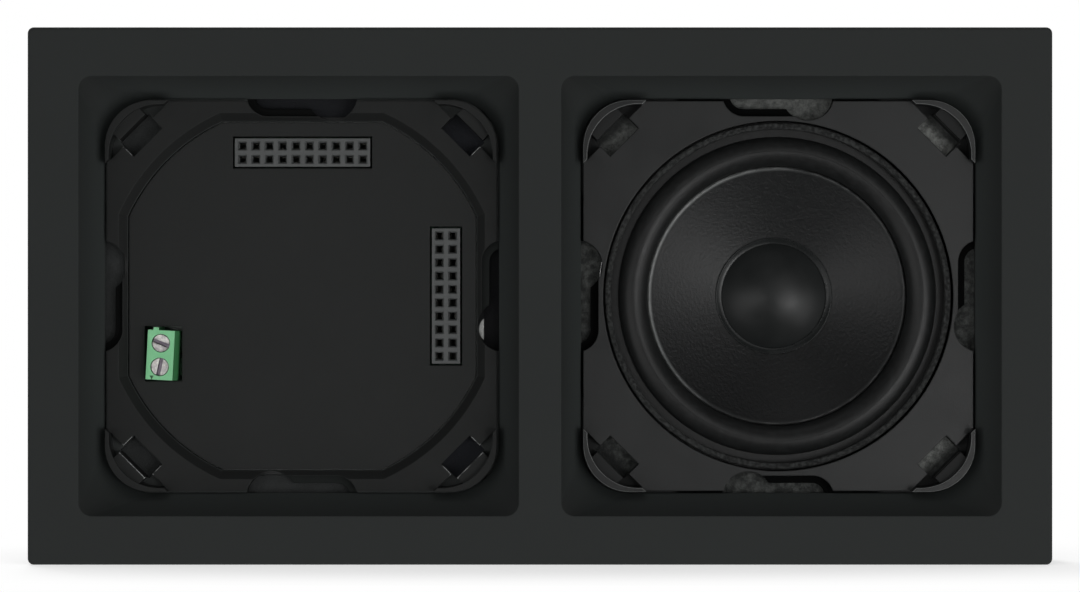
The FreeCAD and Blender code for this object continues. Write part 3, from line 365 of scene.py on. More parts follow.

# Same polymer on the loudspeaker side, dusty from handling; its edges are painted pale on the claws, a
# painted highlight, and near black elsewhere, painted shade
speakerCarrierLook = {"colour": "#141616", "cloudColour": "#1b1d1d", "edgeColour": "#8a8d8c",
                      "roughness": 0.42, "ior": 1.58, "grainMm": 0.3, "grainDepthMm": 0.02,
                      "grainStrength": 0.5, "cloudMm": 5.0, "cloudShare": 0.55, "edgeMm": 0.22,
                      "edgeShare": 0.75, "roughSpread": 0.07}
speakerCarrierBands = {
    "onClaw": ("y", -6.2, -6.5), "sunk": ("y", -4.6, -4.2), "raised": ("y", -5.0, -5.2),
    "belowTip": ("y", -6.5, -6.3), "offCorner": ("outward", 45, 44),
    "block": ("MULTIPLY", "raised", "belowTip"), "clean": ("MAXIMUM", "sunk", "block"),
    "ledge": ("MULTIPLY", "offCorner", "sunk")}
speakerCarrierPc, tree, shader, place = mouldedSkin("polycarbonate moulded speaker carrier",
                                                    speakerCarrierLook)
masks = makeMasks(tree, measure(tree, place, insertAxis["speaker"]), speakerCarrierBands)
# Edge tone: pale on the claws, a painted highlight; near black off them, painted shade in the gaps
rim = addNode(tree, "Mix", {"data_type": "RGBA", 6: hexToLinear("#070808"),
                            7: hexToLinear(speakerCarrierLook["edgeColour"])}, {0: masks["onClaw"]})
edgeTone = shader.inputs["Base Color"].links[0].from_node
tree.links.new(rim.outputs[2], edgeTone.inputs[7])
# The sunk floors and the latch blocks are painted darker and made rougher, painted shade; the key ledges are
# painted near black, painted shade, and lose most of their sheen
paintOver(tree, shader, masks, [("#121414", "clean"), ("#050606", "ledge")])
sheen = addNode(tree, "MapRange", {"To Min": 0.5, "To Max": 0.05}, {"Value": masks["ledge"]})
tree.links.new(sheen.outputs[0], shader.inputs["Specular IOR Level"])
rough = addNode(tree, "Mix", {"data_type": "FLOAT", 3: 0.75},
                {0: masks["clean"], 2: shader.inputs["Roughness"].links[0].from_socket})
tree.links.new(rough.outputs[0], shader.inputs["Roughness"])
dress(speakerCarrierPc, "speaker_carrier")

# Cover of the radio: the mould was etched, so it looks a little paler and flatter
coverLook = {"colour": "#131615", "cloudColour": "#161918", "edgeColour": "#262928", "roughness": 0.7,
             "ior": 1.58, "grainMm": 0.3, "grainDepthMm": 0.02, "grainStrength": 0.5, "cloudMm": 9.0,
             "cloudShare": 0.5, "edgeMm": 0.25, "edgeShare": 0.35, "roughSpread": 0.04}
coverPc = mouldedSkin("polycarbonate etched cover", coverLook)[0]
dress(coverPc, "radio_front_cover")

# Housing of the radio, moulded: a smooth tub, with a thin pale band painted on the seat of the cover, a
# painted highlight
housingLook = {"colour": "#1e2020", "cloudColour": "#272a29", "edgeColour": "#3f4342", "roughness": 0.45,
               "ior": 1.58, "grainMm": 0.35, "grainDepthMm": 0.02, "grainStrength": 0.4, "cloudMm": 11.0,
               "cloudShare": 0.5, "edgeMm": 0.3, "edgeShare": 0.4, "roughSpread": 0.05}
housingBands = {"over": ("y", -1.7, -1.75), "under": ("y", -1.95, -1.9)}
housingPc, tree, shader, place = mouldedSkin("polycarbonate moulded housing", housingLook)
masks = makeMasks(tree, measure(tree, place, insertAxis["radio"]), housingBands)
paintOver(tree, shader, masks, [("#8a8c8b", "over", "under")])
dress(housingPc, "radio_rear_housing")

# Polyurethane foam, die cut: open cells, no gloss; its tone is painted paler than black foam, painted light
# against the shade of the pockets
blackFoamLook = {"colour": "#2a2c2c", "cloudColour": "#363838", "edgeColour": "#3a3c3c", "roughness": 0.95,
                 "ior": 1.5, "grainMm": 0.45, "grainDepthMm": 0.2, "grainStrength": 0.9, "cloudMm": 2.0,
                 "cloudShare": 0.7, "edgeMm": 0.3, "edgeShare": 0.3, "roughSpread": 0.03}
blackFoamBands = {
    "rightSide": ("x", -20, -16), "toFront": ("leanY", -0.5, -0.8), "atKey": ("height", 14, 13),
    "atHead": ("z", 24, 26), "inMiddle": ("x", -47, -46)}
blackFoam, tree, shader, place = mouldedSkin("polyurethane foam die cut black", blackFoamLook)
masks = makeMasks(tree, measure(tree, place, insertAxis["radio"]), blackFoamBands)
# Front faces at the right and at the top are painted dark and bluish, painted shade, darkest nearest the
# middle height
keyShadeTone = addNode(tree, "Mix", {"data_type": "RGBA", 6: hexToLinear("#1d1f24"), 7: hexToLinear("#0b0c0f")},
                    {0: masks["atKey"]})
paintOver(tree, shader, masks, [(keyShadeTone.outputs[2], "rightSide", "toFront"),
                                ("#14161a", "atHead", "inMiddle", "toFront")])
dress(blackFoam, "radio_seal")

# The same foam in grey: coarse cells, speckled paler in the right-hand corner pockets and, fainter, at the
# top, painted light; darker beside the latch blocks, a painted shadow
greyFoamLook = {"colour": "#2b2d2c", "cloudColour": "#5e605e", "edgeColour": "#6d6f6d", "roughness": 0.95,
                "ior": 1.5, "grainMm": 0.5, "grainDepthMm": 0.3, "grainStrength": 1.0, "cloudMm": 1.1,
                "cloudShare": 0.8, "edgeMm": 0.3, "edgeShare": 0.3, "roughSpread": 0.03}
greyFoamBands = {
    "besideBlock": ("outward", 47.6, 49.2, 0.85), "inCorner": ("outward", 43, 44), "atRight": ("x", 30, 40),
    "atTop": ("z", 20, 22, 0.4), "rightPocket": ("MULTIPLY", "inCorner", "atRight"),
    "lit": ("MAXIMUM", "rightPocket", "atTop")}
greyFoam, tree, shader, place = mouldedSkin("polyurethane foam die cut grey", greyFoamLook)
masks = makeMasks(tree, measure(tree, place, insertAxis["speaker"]), greyFoamBands)
speckle = addNode(tree, "TexNoise", {"Scale": perMetre(0.8), "Detail": 3.0, "Roughness": 0.7},
                  {"Vector": place})
speckled = addNode(tree, "MapRange", {"From Min": 0.38, "From Max": 0.62, "To Min": 0.25, "To Max": 1.0},
                   {"Value": speckle.outputs[0]})
masks.update(speckled=speckled.outputs[0])
paintOver(tree, shader, masks, [("#858784", "lit", "speckled"), ("#161818", "besideBlock")])
dress(greyFoam, "speaker_seal")

# Glass-filled PBT, moulded: dull grey with a faint fibre shimmer; the upright flanks are painted paler,
# painted light
socketLook = {"colour": "#454747", "cloudColour": "#525454", "edgeColour": "#6c6f6e", "roughness": 0.45,
              "ior": 1.55, "grainMm": 0.2, "grainDepthMm": 0.012, "grainStrength": 0.4, "cloudMm": 1.5,
              "cloudShare": 0.5, "edgeMm": 0.12, "edgeShare": 0.6, "roughSpread": 0.06}
socketPbt, tree, shader, place = mouldedSkin("PBT moulded socket", socketLook)
masks = makeMasks(tree, measure(tree, place, insertAxis["radio"]), {"upright": ("leanY", -0.3, -0.1)})
paintOver(tree, shader, masks, [("#7c7e7e", "upright")])
dress(socketPbt, "upper_socket_body", "side_socket_body", "board_spacers")

# Polyamide, moulded: green terminal for the loudspeaker lead, light-scattering and slightly waxy
greenLook = {"colour": "#70b883", "cloudColour": "#84c796", "edgeColour": "#aedcb9", "roughness": 0.42,
             "ior": 1.53, "grainMm": 0.25, "grainDepthMm": 0.015, "grainStrength": 0.35, "cloudMm": 2.5,
             "cloudShare": 0.6, "edgeMm": 0.15, "edgeShare": 0.5, "roughSpread": 0.05}
greenPa, tree, shader, place = mouldedSkin("polyamide moulded green", greenLook)
# The sloped wire side, facing right, is painted darker green, painted shade
masks = makeMasks(tree, measure(tree, place, insertAxis["radio"]), {"wireSide": ("leanX", 0.3, 0.7)})
paintOver(tree, shader, masks, [("#3c7a4b", "wireSide")])
dress(greenPa, "speaker_terminal_body")

# The same polymer in grey for the mains terminal
greyPaLook = {"colour": "#8b8e8c", "cloudColour": "#9da09e", "edgeColour": "#b4b7b5", "roughness": 0.45,
              "ior": 1.53, "grainMm": 0.25, "grainDepthMm": 0.015, "grainStrength": 0.35, "cloudMm": 4.0,
              "cloudShare": 0.5, "edgeMm": 0.15, "edgeShare": 0.4, "roughSpread": 0.05}
greyPa = mouldedSkin("polyamide moulded grey", greyPaLook)[0]
dress(greyPa, "mains_terminal_body")

# Epoxy transfer-moulded round the chip: dull black with fine filler
epoxyLook = {"colour": "#1c1c1d", "cloudColour": "#262627", "edgeColour": "#39393a", "roughness": 0.6,
             "ior": 1.55, "grainMm": 0.12, "grainDepthMm": 0.01, "grainStrength": 0.5, "cloudMm": 1.5,
             "cloudShare": 0.4, "edgeMm": 0.1, "edgeShare": 0.4, "roughSpread": 0.04}
chipEpoxy = mouldedSkin("epoxy moulded chip", epoxyLook)[0]
dress(chipEpoxy, "amplifier_chip", "board_link_socket", "board_link_plug")

# Glass-epoxy laminate under green solder mask: thin lacquer gloss over a faint weave
boardLook = {"colour": "#1f4d34", "cloudColour": "#285a3e", "edgeColour": "#b7a56c", "roughness": 0.3,
             "ior": 1.5, "grainMm": 0.6, "grainDepthMm": 0.01, "grainStrength": 0.25, "cloudMm": 3.0,
             "cloudShare": 0.6, "edgeMm": 0.08, "edgeShare": 0.5, "roughSpread": 0.04}
boardLaminate = mouldedSkin("glass epoxy solder masked", boardLook)[0]
dress(boardLaminate, "main_board", "power_board")

# Phenolic paper laminate, punched: brown with a resin shine
tagLook = {"colour": "#7a4a24", "cloudColour": "#8c5a30", "edgeColour": "#a67a4c", "roughness": 0.4,
           "ior": 1.55, "grainMm": 0.3, "grainDepthMm": 0.01, "grainStrength": 0.4, "cloudMm": 2.0,
           "cloudShare": 0.6, "edgeMm": 0.08, "edgeShare": 0.5, "roughSpread": 0.05}
tagLaminate = mouldedSkin("phenolic paper punched", tagLook)[0]
dress(tagLaminate, "tag_board")

# Pressed steel basket under stoved enamel: black with an orange-peel gloss
enamelLook = {"colour": "#161717", "cloudColour": "#1f2020", "edgeColour": "#343636", "roughness": 0.34,
              "ior": 1.52, "grainMm": 0.9, "grainDepthMm": 0.02, "grainStrength": 0.3, "cloudMm": 6.0,
              "cloudShare": 0.5, "edgeMm": 0.25, "edgeShare": 0.35, "roughSpread": 0.05}
enamelSteel = mouldedSkin("enamelled pressed steel", enamelLook)[0]
dress(enamelSteel, "speaker_basket")

# Sintered ferrite, ground flat: charcoal with a mineral sparkle
ferriteLook = {"colour": "#2b2c2e", "cloudColour": "#383a3c", "edgeColour": "#4b4d50", "roughness": 0.55,
               "ior": 2.3, "grainMm": 0.18, "grainDepthMm": 0.02, "grainStrength": 0.5, "cloudMm": 3.0,
               "cloudShare": 0.6, "edgeMm": 0.2, "edgeShare": 0.5, "roughSpread": 0.08}
ferrite = mouldedSkin("ferrite sintered", ferriteLook)[0]
dress(ferrite, "magnet", "transformer_core")


# Metal with a drawn, turned or plated surface: fine streaks and a mottled tarnish
def metalSkin(name, look):
    material, tree, shader = startMaterial(name, look["colour"], look["roughness"], 1.0)
    place = addNode(tree, "TexCoord", {}, {}).outputs["Object"]
    streaks = addNode(tree, "Mapping", {"Scale": look["stretch"]}, {"Vector": place})
    lines = addNode(tree, "TexNoise", {"Scale": perMetre(look["lineMm"]), "Detail": 3.0},
                    {"Vector": streaks.outputs[0]})
    stain = addNode(tree, "TexNoise", {"Scale": perMetre(look["stainMm"]), "Detail": 5.0, "Roughness": 0.7},
                    {"Vector": place})
    rounded = addNode(tree, "Bevel", {"samples": 6, "Radius": mm(look["edgeMm"])}, {})
    bump = addNode(tree, "Bump", {"Strength": 0.5, "Distance": mm(look["lineDepthMm"])},
                   {"Height": lines.outputs[0], "Normal": rounded.outputs[0]})
    tree.links.new(bump.outputs[0], shader.inputs["Normal"])
    share = addNode(tree, "MapRange", {"From Min": 0.4, "From Max": 0.7}, {"Value": stain.outputs[0]})
    tone = addNode(tree, "Mix", {"data_type": "RGBA", 6: hexToLinear(look["colour"]),
                                 7: hexToLinear(look["stainColour"])}, {0: share.outputs[0]})
    tree.links.new(tone.outputs[2], shader.inputs["Base Color"])
    rough = addNode(tree, "MapRange", {"From Min": 0.3, "From Max": 0.7, "To Min": look["roughness"] - 0.07,
                                       "To Max": look["roughness"] + 0.1}, {"Value": stain.outputs[0]})
    tree.links.new(rough.outputs[0], shader.inputs["Roughness"])
    return material, tree, shader, place


# Zinc-plated steel screws: grey mirror with a cloudy passivated film
zincLook = {"colour": "#b9bcbd", "stainColour": "#8f9294", "roughness": 0.34, "lineMm": 0.15,
            "stretch": (1, 1, 1), "lineDepthMm": 0.01, "stainMm": 1.2, "edgeMm": 0.1}
zincSteel = metalSkin("steel zinc plated", zincLook)[0]
dress(zincSteel, "radio_screws", "speaker_screws", "board_screws", "mains_terminal_screws")

# Bright zinc on the machined clamp screws, clear passivated: paler than the other screws, darker in the slots
brightZincLook = {"colour": "#e4e2dc", "stainColour": "#a9a4aa", "roughness": 0.32, "lineMm": 0.12,
                  "stretch": (1, 1, 1), "lineDepthMm": 0.012, "stainMm": 0.7, "edgeMm": 0.08}
brightZinc, tree, shader, place = metalSkin("steel bright zinc plated", brightZincLook)
masks = makeMasks(tree, measure(tree, place, insertAxis["radio"]), {"slot": ("y", -4.5, -4.3)})
paintOver(tree, shader, masks, [("#857d87", "slot")])
dress(brightZinc, "speaker_terminal_screws")

# Turned low-carbon steel of the magnet circuit: concentric tool marks, lightly oiled
turnedLook = {"colour": "#a7a8a8", "stainColour": "#85868a", "roughness": 0.36, "lineMm": 0.2,
              "stretch": (1, 1, 1), "lineDepthMm": 0.01, "stainMm": 5.0, "edgeMm": 0.2}
turnedSteel = metalSkin("steel turned", turnedLook)[0]
dress(turnedSteel, "top_plate", "yoke", "tuner_shield")

# Tin-plated brass and bronze, stamped: soft silver with warm worn spots
tinLook = {"colour": "#c6c5c0", "stainColour": "#a3a19a", "roughness": 0.3, "lineMm": 0.12,
           "stretch": (1, 1, 1), "lineDepthMm": 0.008, "stainMm": 0.8, "edgeMm": 0.06}
tinBrass = metalSkin("brass tin plated", tinLook)[0]
dress(tinBrass, "board_link_pins", "speaker_terminal_clamps", "solder_tags")

# The same plating on the socket contacts, painted darker and duller, painted shade for contacts deep in their
# holes
shadedTinLook = dict(tinLook, colour="#6b6a65", stainColour="#4c4b47", roughness=0.45)
shadedTin = metalSkin("brass tin plated in painted shade", shadedTinLook)[0]
dress(shadedTin, "upper_socket_contacts", "side_socket_contacts")

# Enamelled copper wire, layer wound: close parallel turns under clear lacquer
copperLook = {"colour": "#b4623a", "stainColour": "#8e4526", "roughness": 0.28, "lineMm": 0.5,
              "stretch": (0.02, 1, 0.02), "lineDepthMm": 0.08, "stainMm": 2.0, "edgeMm": 0.15}
copperWire = metalSkin("copper enamelled wound", copperLook)[0]
dress(copperWire, "transformer_winding", "voice_coil")

# Deep-drawn aluminium cans: bright with fine upright draw lines
canLook = {"colour": "#c2c4c6", "stainColour": "#a4a6a9", "roughness": 0.27, "lineMm": 0.2,
           "stretch": (1, 0.05, 1), "lineDepthMm": 0.01, "stainMm": 3.0, "edgeMm": 0.25}
canAluminium = metalSkin("aluminium deep drawn", canLook)[0]
dress(canAluminium, "reservoir_capacitors")
print("materials on the solids")


# Loudspeaker pieces that are turned from a profile about the driver's axis

driver = {"centre": Vector([mm(v) for v in insertAxis["speaker"]]), "steps": 192}


def arcThrough(first, middle, last, count):
    (ax, ay), (bx, by), (cx, cy) = first, middle, last
    d = 2 * (ax * (by - cy) + bx * (cy - ay) + cx * (ay - by))
    a, b, c = ax * ax + ay * ay, bx * bx + by * by, cx * cx + cy * cy
    ox = (a * (by - cy) + b * (cy - ay) + c * (ay - by)) / d
    oy = (a * (cx - bx) + b * (ax - cx) + c * (bx - ax)) / d
    radius = math.hypot(ax - ox, ay - oy)
    start = math.atan2(ay - oy, ax - ox)
    mid = math.atan2(by - oy, bx - ox)
    end = math.atan2(cy - oy, cx - ox)
    turn = 2 * math.pi
    sweep = (end - start) % turn
    if (mid - start) % turn > sweep:
        sweep -= turn
    angles = [start + sweep * i / (count - 1) for i in range(count)]
    return [(ox + radius * math.cos(angle), oy + radius * math.sin(angle)) for angle in angles]


# A closed profile of (radius, depth) points goes round the axis, shaken point by point where wanted
def turnPiece(name, profile, shake):
    steps = driver["steps"]
    count = len(profile)
    points = []
    for step in range(steps):
        angle = 2 * math.pi * step / steps
        for index, (radius, depth) in enumerate(profile):
            dr, dy = shake(angle, index) if shake else (0.0, 0.0)
            points.append((driver["centre"].x + mm(radius + dr) * math.cos(angle), mm(depth + dy),
                           mm(radius + dr) * math.sin(angle)))
    faces = []
    for step in range(steps):
        here = step * count
        there = (step + 1) % steps * count
        for index in range(count):
            after = (index + 1) % count
            faces.append((here + index, here + after, there + after, there + index))
    mesh = bpy.data.meshes.new(name)
    mesh.from_pydata(points, [], faces)
    mesh.validate()
    mesh.shade_smooth()
    mesh.set_sharp_from_angle(angle=math.radians(40))
    piece = bpy.data.objects.new(name, mesh)
    bpy.context.scene.collection.objects.link(piece)
    return piece


def flipIfInside(piece):
    mesh = piece.data
    volume = 0.0
    for face in mesh.polygons:
        corners = [mesh.vertices[i].co for i in face.vertices]
        for i in range(1, len(corners) - 1):
            volume += corners[0].dot(corners[i].cross(corners[i + 1]))
    if volume < 0:
        mesh.flip_normals()


def closedRing(name, profile, material, shake=None):
    piece = turnPiece(name, profile, shake)
    flipIfInside(piece)
    piece.data.materials.append(material)
    return piece


# Butyl rubber, compression moulded: half roll with a soft crest light and dark flanks
rubberLook = {"colour": "#131414", "cloudColour": "#202222", "edgeColour": "#232424", "roughness": 0.43,
              "ior": 1.52, "grainMm": 0.25, "grainDepthMm": 0.02, "grainStrength": 0.6, "cloudMm": 0.8,
              "cloudShare": 0.6, "edgeMm": 0.1, "edgeShare": 0.0, "roughSpread": 0.06}
rubber = mouldedSkin("butyl rubber moulded", rubberLook)[0]

roll = {"flange": 25.575, "outer": 23.8, "inner": 19.5, "foot": -2.4, "crest": -4.3, "sheet": 0.4,
        "lipEnd": 19.0, "lipFront": -0.9, "lipBack": -0.5, "arcSteps": 33}
rollMid = (roll["outer"] + roll["inner"]) / 2
rollFront = arcThrough((roll["outer"], roll["foot"]), (rollMid, roll["crest"]), (roll["inner"], roll["foot"]),
                       roll["arcSteps"])
rollBack = arcThrough((roll["outer"] - roll["sheet"], roll["foot"] + roll["sheet"]),
                      (rollMid, roll["crest"] + roll["sheet"]),
                      (roll["inner"] + roll["sheet"], roll["foot"] + roll["sheet"]), roll["arcSteps"])
middle = roll["arcSteps"] // 2
outerProfile = [(roll["flange"], roll["foot"])] + rollFront[:middle + 1] + rollBack[middle::-1]
outerProfile.append((roll["flange"], roll["foot"] + roll["sheet"]))
innerProfile = rollFront[middle:] + [(roll["inner"], roll["lipFront"]), (roll["lipEnd"], roll["lipFront"]),
                                     (roll["lipEnd"], roll["lipBack"]),
                                     (roll["inner"] + roll["sheet"], roll["lipBack"])]
innerProfile += rollBack[:middle - 1:-1]
surroundOuter = closedRing("surround_outer", outerProfile, rubber)
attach(surroundOuter, "wall_unit")
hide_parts("cone_surround")
surroundInner = closedRing("surround_inner", innerProfile, rubber)
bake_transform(surroundInner)
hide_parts("cone_surround")

# Wood pulp, felted on a screen: matt charcoal fibres that catch side light; the rim is painted pale, palest
# towards the upper left, a painted highlight, and the lower part darker, painted shade
coneLook = {"colour": "#111314", "cloudColour": "#1b1d1d", "edgeColour": "#4a4c4b", "roughness": 0.48,
            "ior": 1.5, "grainMm": 0.5, "grainDepthMm": 0.18, "grainStrength": 1.0, "cloudMm": 0.8,
            "cloudShare": 0.7, "edgeMm": 0.1, "edgeShare": 0.0, "roughSpread": 0.08}
coneBands = {"trim": ("radius", 18.7, 19.0), "lower": ("z", 4, -14, 0.7)}
pulp, tree, shader, place = mouldedSkin("paper pulp felted", coneLook)
by = measure(tree, place, insertAxis["speaker"])
masks = makeMasks(tree, by, coneBands)
outward = addNode(tree, "VectorMath", {"operation": "NORMALIZE"}, {0: by["level"]})
toLeft = addNode(tree, "VectorMath", {"operation": "DOT_PRODUCT", 1: (-0.93, 0.0, 0.37)},
                 {0: outward.outputs[0]})
lighter = addNode(tree, "MapRange", {"From Min": 0.1, "From Max": 0.95, "To Min": 0.12, "To Max": 1.0},
                  {"Value": toLeft.outputs["Value"]})
masks.update(lighter=lighter.outputs[0])
paintOver(tree, shader, masks, [("#060708", "lower"), ("#6f7170", "trim", "lighter")])
shader.inputs["Coat Weight"].default_value = 0.8
shader.inputs["Coat Roughness"].default_value = 0.42

paperCone = {"rim": 19.45, "flat": 18.9, "neck": 6.8, "front": -1.4, "depth": 6.6, "bow": 0.35, "sheet": 0.5,
             "bead": [(19.4, 0.02), (19.3, 0.14), (19.15, 0.22), (19.0, 0.16)], "edge": 0.1, "steps": 40,
             "fuzzDraws": 8, "fuzzOut": 0.04, "fuzzFront": 0.05}


def coneDepth(radius):
    run = (paperCone["flat"] - radius) / (paperCone["flat"] - paperCone["neck"])
    return paperCone["front"] + paperCone["depth"] * run + 4 * paperCone["bow"] * run * (1 - run)


coneRadii = [paperCone["flat"] + (paperCone["neck"] - paperCone["flat"]) * i / paperCone["steps"]
             for i in range(paperCone["steps"] + 1)]
coneFront = [(r, coneDepth(r)) for r in coneRadii]
coneBack = [(r, coneDepth(r) + paperCone["sheet"]) for r in reversed(coneRadii)]
coneBead = [(radius, paperCone["front"] - rise) for radius, rise in paperCone["bead"]]
coneRim = [(paperCone["rim"], paperCone["front"] + paperCone["sheet"]),
           (paperCone["rim"], paperCone["front"] + paperCone["edge"])]
fibres = random.Random(7)
fuzz = [fibres.uniform(-1, 1) for _ in range(driver["steps"] * paperCone["fuzzDraws"])]


def rimFuzz(angle, index):
    if index in (3, 4, 5):
        draw = round(angle / (2 * math.pi) * driver["steps"]) * paperCone["fuzzDraws"] + index
        return paperCone["fuzzOut"] * fuzz[draw], paperCone["fuzzFront"] * fuzz[draw + 2]
    return 0.0, 0.0


coneProfile = coneRim + coneBead + coneFront + coneBack
cone = closedRing("speaker_cone_paper", coneProfile, pulp, rimFuzz)
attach(cone, "diaphragm")
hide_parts("speaker_cone")

# Cloth dust cap, pressed and doped: smooth dome with a soft window of light
capLook = {"colour": "#1a1c1c", "cloudColour": "#202222", "edgeColour": "#2c2e2e", "roughness": 0.38,
           "ior": 1.5, "grainMm": 0.22, "grainDepthMm": 0.015, "grainStrength": 0.4, "cloudMm": 3.0,
           "cloudShare": 0.6, "edgeMm": 0.1, "edgeShare": 0.0, "roughSpread": 0.05}
capCloth = mouldedSkin("cotton doped and pressed", capLook)[0]

cap = {"radius": 8.0, "foot": 4.67, "height": 2.9, "sheet": 0.35, "steps": 28}
domeRadius = (cap["radius"] ** 2 + cap["height"] ** 2) / (2 * cap["height"])


def domeProfile(radius):
    centre = cap["foot"] - cap["height"] + domeRadius
    limit = math.asin(cap["radius"] / domeRadius)
    points = []
    for i in range(cap["steps"] + 1):
        angle = limit * i / cap["steps"]
        points.append((max(radius * math.sin(angle), 0.001), centre - radius * math.cos(angle)))
    return points


domeFront = domeProfile(domeRadius)
domeBack = domeProfile(domeRadius - cap["sheet"])
dustCap = closedRing("dust_cap_dome", domeFront + domeBack[::-1], capCloth)
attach(dustCap, "diaphragm")
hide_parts("dust_cap")

# Rubber cement, brushed on: a glossy uneven bead round the cap
glueLook = {"colour": "#1b1d1d", "cloudColour": "#252727", "edgeColour": "#1c1d1d", "roughness": 0.28,
            "ior": 1.5, "grainMm": 0.8, "grainDepthMm": 0.05, "grainStrength": 0.5, "cloudMm": 3.0,
            "cloudShare": 0.5, "edgeMm": 0.1, "edgeShare": 0.0, "roughSpread": 0.06}
glue = mouldedSkin("rubber cement brushed", glueLook)[0]
bead = {"rise": [(7.8, -0.2), (7.95, 0.22), (8.1, 0.16), (8.4, 0.12), (8.6, 0.2), (8.72, 0.22), (8.82, 0.12),
                 (8.86, -0.2)]}
beadProfile = [(radius, coneDepth(radius) - rise) for radius, rise in bead["rise"]]
glueBead = closedRing("cap_glue_bead", beadProfile, glue)
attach(glueBead, "diaphragm")

# Kraft paper rolled into the coil former
kraftLook = {"colour": "#8a6a44", "cloudColour": "#9a7a54", "edgeColour": "#a98b66", "roughness": 0.6,
             "ior": 1.5, "grainMm": 0.4, "grainDepthMm": 0.02, "grainStrength": 0.4, "cloudMm": 2.0,
             "cloudShare": 0.6, "edgeMm": 0.08, "edgeShare": 0.4, "roughSpread": 0.05}
kraft = mouldedSkin("kraft paper rolled", kraftLook)[0]
dress(kraft, "coil_former")

# Felted fibre gasket, die cut: coarse grey flecks on black
gasketLook = {"colour": "#0f1010", "cloudColour": "#3a3c3b", "edgeColour": "#3a3c3b", "roughness": 0.9,
              "ior": 1.5, "grainMm": 0.35, "grainDepthMm": 0.2, "grainStrength": 1.0, "cloudMm": 0.5,
              "cloudShare": 0.9, "edgeMm": 0.1, "edgeShare": 0.2, "roughSpread": 0.04}
gasketFelt = mouldedSkin("fibre felt die cut", gasketLook)[0]
gasket = {"inner": 24.9, "outer": 25.8, "back": -2.4, "tuftDraws": 12, "tuft": 0.06,
          "crown": [(25.8, -4.25), (25.66, -4.42), (25.45, -4.44), (25.25, -4.43), (25.05, -4.41),
                    (24.92, -4.26)]}
tufts = random.Random(11)
tuft = [tufts.uniform(-1, 1) for _ in range(driver["steps"] * gasket["tuftDraws"])]
gasketProfile = [(gasket["outer"], gasket["back"])] + gasket["crown"] + [(gasket["inner"], gasket["back"])]


def gasketShake(angle, index):
    if 1 < index < 6:
        draw = round(angle / (2 * math.pi) * driver["steps"]) * gasket["tuftDraws"] + index
        return gasket["tuft"] * tuft[draw], gasket["tuft"] * tuft[draw + 5]
    return 0.0, 0.0


gasketRing = closedRing("gasket_felt", gasketProfile, gasketFelt, gasketShake)
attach(gasketRing, "wall_unit")
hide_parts("speaker_gasket")

# Polyurethane foam left as a tongue in the lead notch: pale, and near black outside a small circle
tongueLook = dict(greyFoamLook, colour="#c2c3c1", cloudColour="#d2d3d0", cloudMm=0.6)
notchFoam, tree, shader, place = mouldedSkin("polyurethane foam tongue", tongueLook)
masks = makeMasks(tree, measure(tree, place, (-7.0, 0.0, -5.0)), {"cut": ("radius", 2.05, 2.2)})
paintOver(tree, shader, masks, [("#17191a", "cut")])
tongue = {"across": (-9.4, -8.4), "depth": (-1.95, -0.1), "height": (-6.7, -2.3)}
tonguePoints = [(mm(x), mm(y), mm(z)) for x in tongue["across"] for y in tongue["depth"]
                for z in tongue["height"]]
tongueFaces = [(0, 4, 5, 1), (2, 3, 7, 6), (0, 1, 3, 2), (4, 6, 7, 5), (0, 2, 6, 4), (1, 5, 7, 3)]
tongueMesh = bpy.data.meshes.new("seal_tongue")
tongueMesh.from_pydata(tonguePoints, [], tongueFaces)
tongueMesh.materials.append(notchFoam)
sealTongue = bpy.data.objects.new("seal_tongue", tongueMesh)
bpy.context.scene.collection.objects.link(sealTongue)
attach(sealTongue, "wall_unit")

# Cotton cloth soaked in phenolic resin and pressed into waves: amber weave
spiderLook = {"colour": "#b58a4a", "cloudColour": "#c79d5c", "edgeColour": "#c79d5c", "roughness": 0.65,
              "ior": 1.5, "grainMm": 0.6, "grainDepthMm": 0.06, "grainStrength": 0.6, "cloudMm": 2.0,
              "cloudShare": 0.6, "edgeMm": 0.1, "edgeShare": 0.0, "roughSpread": 0.05}
spiderCloth = mouldedSkin("cotton resin pressed", spiderLook)[0]
waves = {"rim": 19.6, "flat": 16.4, "neck": 7.2, "end": 6.85, "front": 6.2, "drop": 2.0, "height": 0.5,
         "count": 3, "sheet": 0.4, "steps": 72}
spiderFront = [(waves["rim"], waves["front"])]
for i in range(waves["steps"] + 1):
    run = i / waves["steps"]
    radius = waves["flat"] + (waves["neck"] - waves["flat"]) * run
    wave = waves["height"] * math.sin(2 * math.pi * waves["count"] * run)
    spiderFront.append((radius, waves["front"] + waves["drop"] * run + wave))
spiderFront.append((waves["end"], waves["front"] + waves["drop"]))
spiderBack = [(r, y + waves["sheet"]) for r, y in reversed(spiderFront)]
spider = closedRing("spider_cloth_waves", spiderFront + spiderBack, spiderCloth)
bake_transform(spider)
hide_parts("spider")

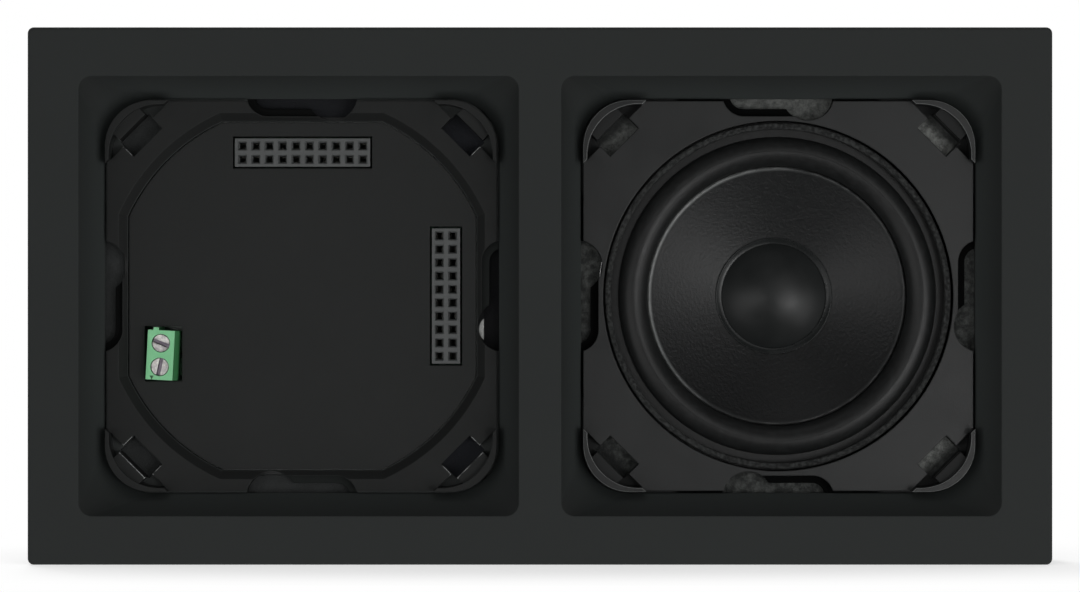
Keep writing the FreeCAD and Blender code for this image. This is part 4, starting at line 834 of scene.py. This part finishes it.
# Tinsel lead, braided from copper foil on cotton: a twisted rope of tiny bright facets
tinselLook = {"colour": "#b9805a", "stainColour": "#8c5a3c", "roughness": 0.4, "lineMm": 0.25,
              "stretch": (1, 1, 1), "lineDepthMm": 0.06, "stainMm": 0.4, "edgeMm": 0.05}
tinsel = metalSkin("copper tinsel braided", tinselLook)[0]
lead = {"spacing": 3.5, "start": -11.0, "lift": 0.9, "exit": -23.6, "exitDepth": 4.0, "end": -25.6,
        "endDepth": 8.0, "radius": 0.4, "sides": 10, "steps": 48, "braid": 0.05, "twist": 26.0,
        "knee": 0.86, "bendFrom": 0.72}


def leadLine(run):
    p0 = Vector((lead["start"], coneDepth(-lead["start"]) + lead["lift"]))
    p1 = Vector((lead["exit"], lead["exitDepth"]))
    p2 = Vector((lead["end"], lead["endDepth"]))
    if run < lead["bendFrom"]:
        return p0.lerp(p1, run / lead["bendFrom"] * lead["knee"])
    share = (run - lead["bendFrom"]) / (1 - lead["bendFrom"])
    return p0.lerp(p1, lead["knee"]).lerp(p1, share).lerp(p1.lerp(p2, share), share)


leadPoints = []
leadFaces = []
for side in (-1, 1):
    first = len(leadPoints)
    for i in range(lead["steps"] + 1):
        run = i / lead["steps"]
        here = leadLine(run)
        step = leadLine(min(run + 0.002, 1.0)) - leadLine(max(run - 0.002, 0.0))
        step.normalize()
        for k in range(lead["sides"]):
            angle = 2 * math.pi * k / lead["sides"]
            ridge = 0.5 + 0.5 * math.cos(3 * angle + lead["twist"] * run * 6)
            radius = lead["radius"] - lead["braid"] * ridge
            out = radius * math.cos(angle)
            across = radius * math.sin(angle)
            leadPoints.append((driver["centre"].x + mm(side * lead["spacing"] + out),
                               mm(here.y + across * step.x), mm(here.x - across * step.y)))
    for i in range(lead["steps"]):
        for k in range(lead["sides"]):
            a = first + i * lead["sides"] + k
            b = first + i * lead["sides"] + (k + 1) % lead["sides"]
            leadFaces.append((a, b, b + lead["sides"], a + lead["sides"]))
    leadFaces.append(tuple(range(first, first + lead["sides"]))[::-1])
    last = first + lead["steps"] * lead["sides"]
    leadFaces.append(tuple(range(last, last + lead["sides"])))
leadMesh = bpy.data.meshes.new("lead_tinsel")
leadMesh.from_pydata(leadPoints, [], leadFaces)
leadMesh.shade_smooth()
leads = bpy.data.objects.new("lead_tinsel", leadMesh)
bpy.context.scene.collection.objects.link(leads)
flipIfInside(leads)
leadMesh.materials.append(tinsel)
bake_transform(leads)
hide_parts("lead_wires")
print("loudspeaker pieces made")
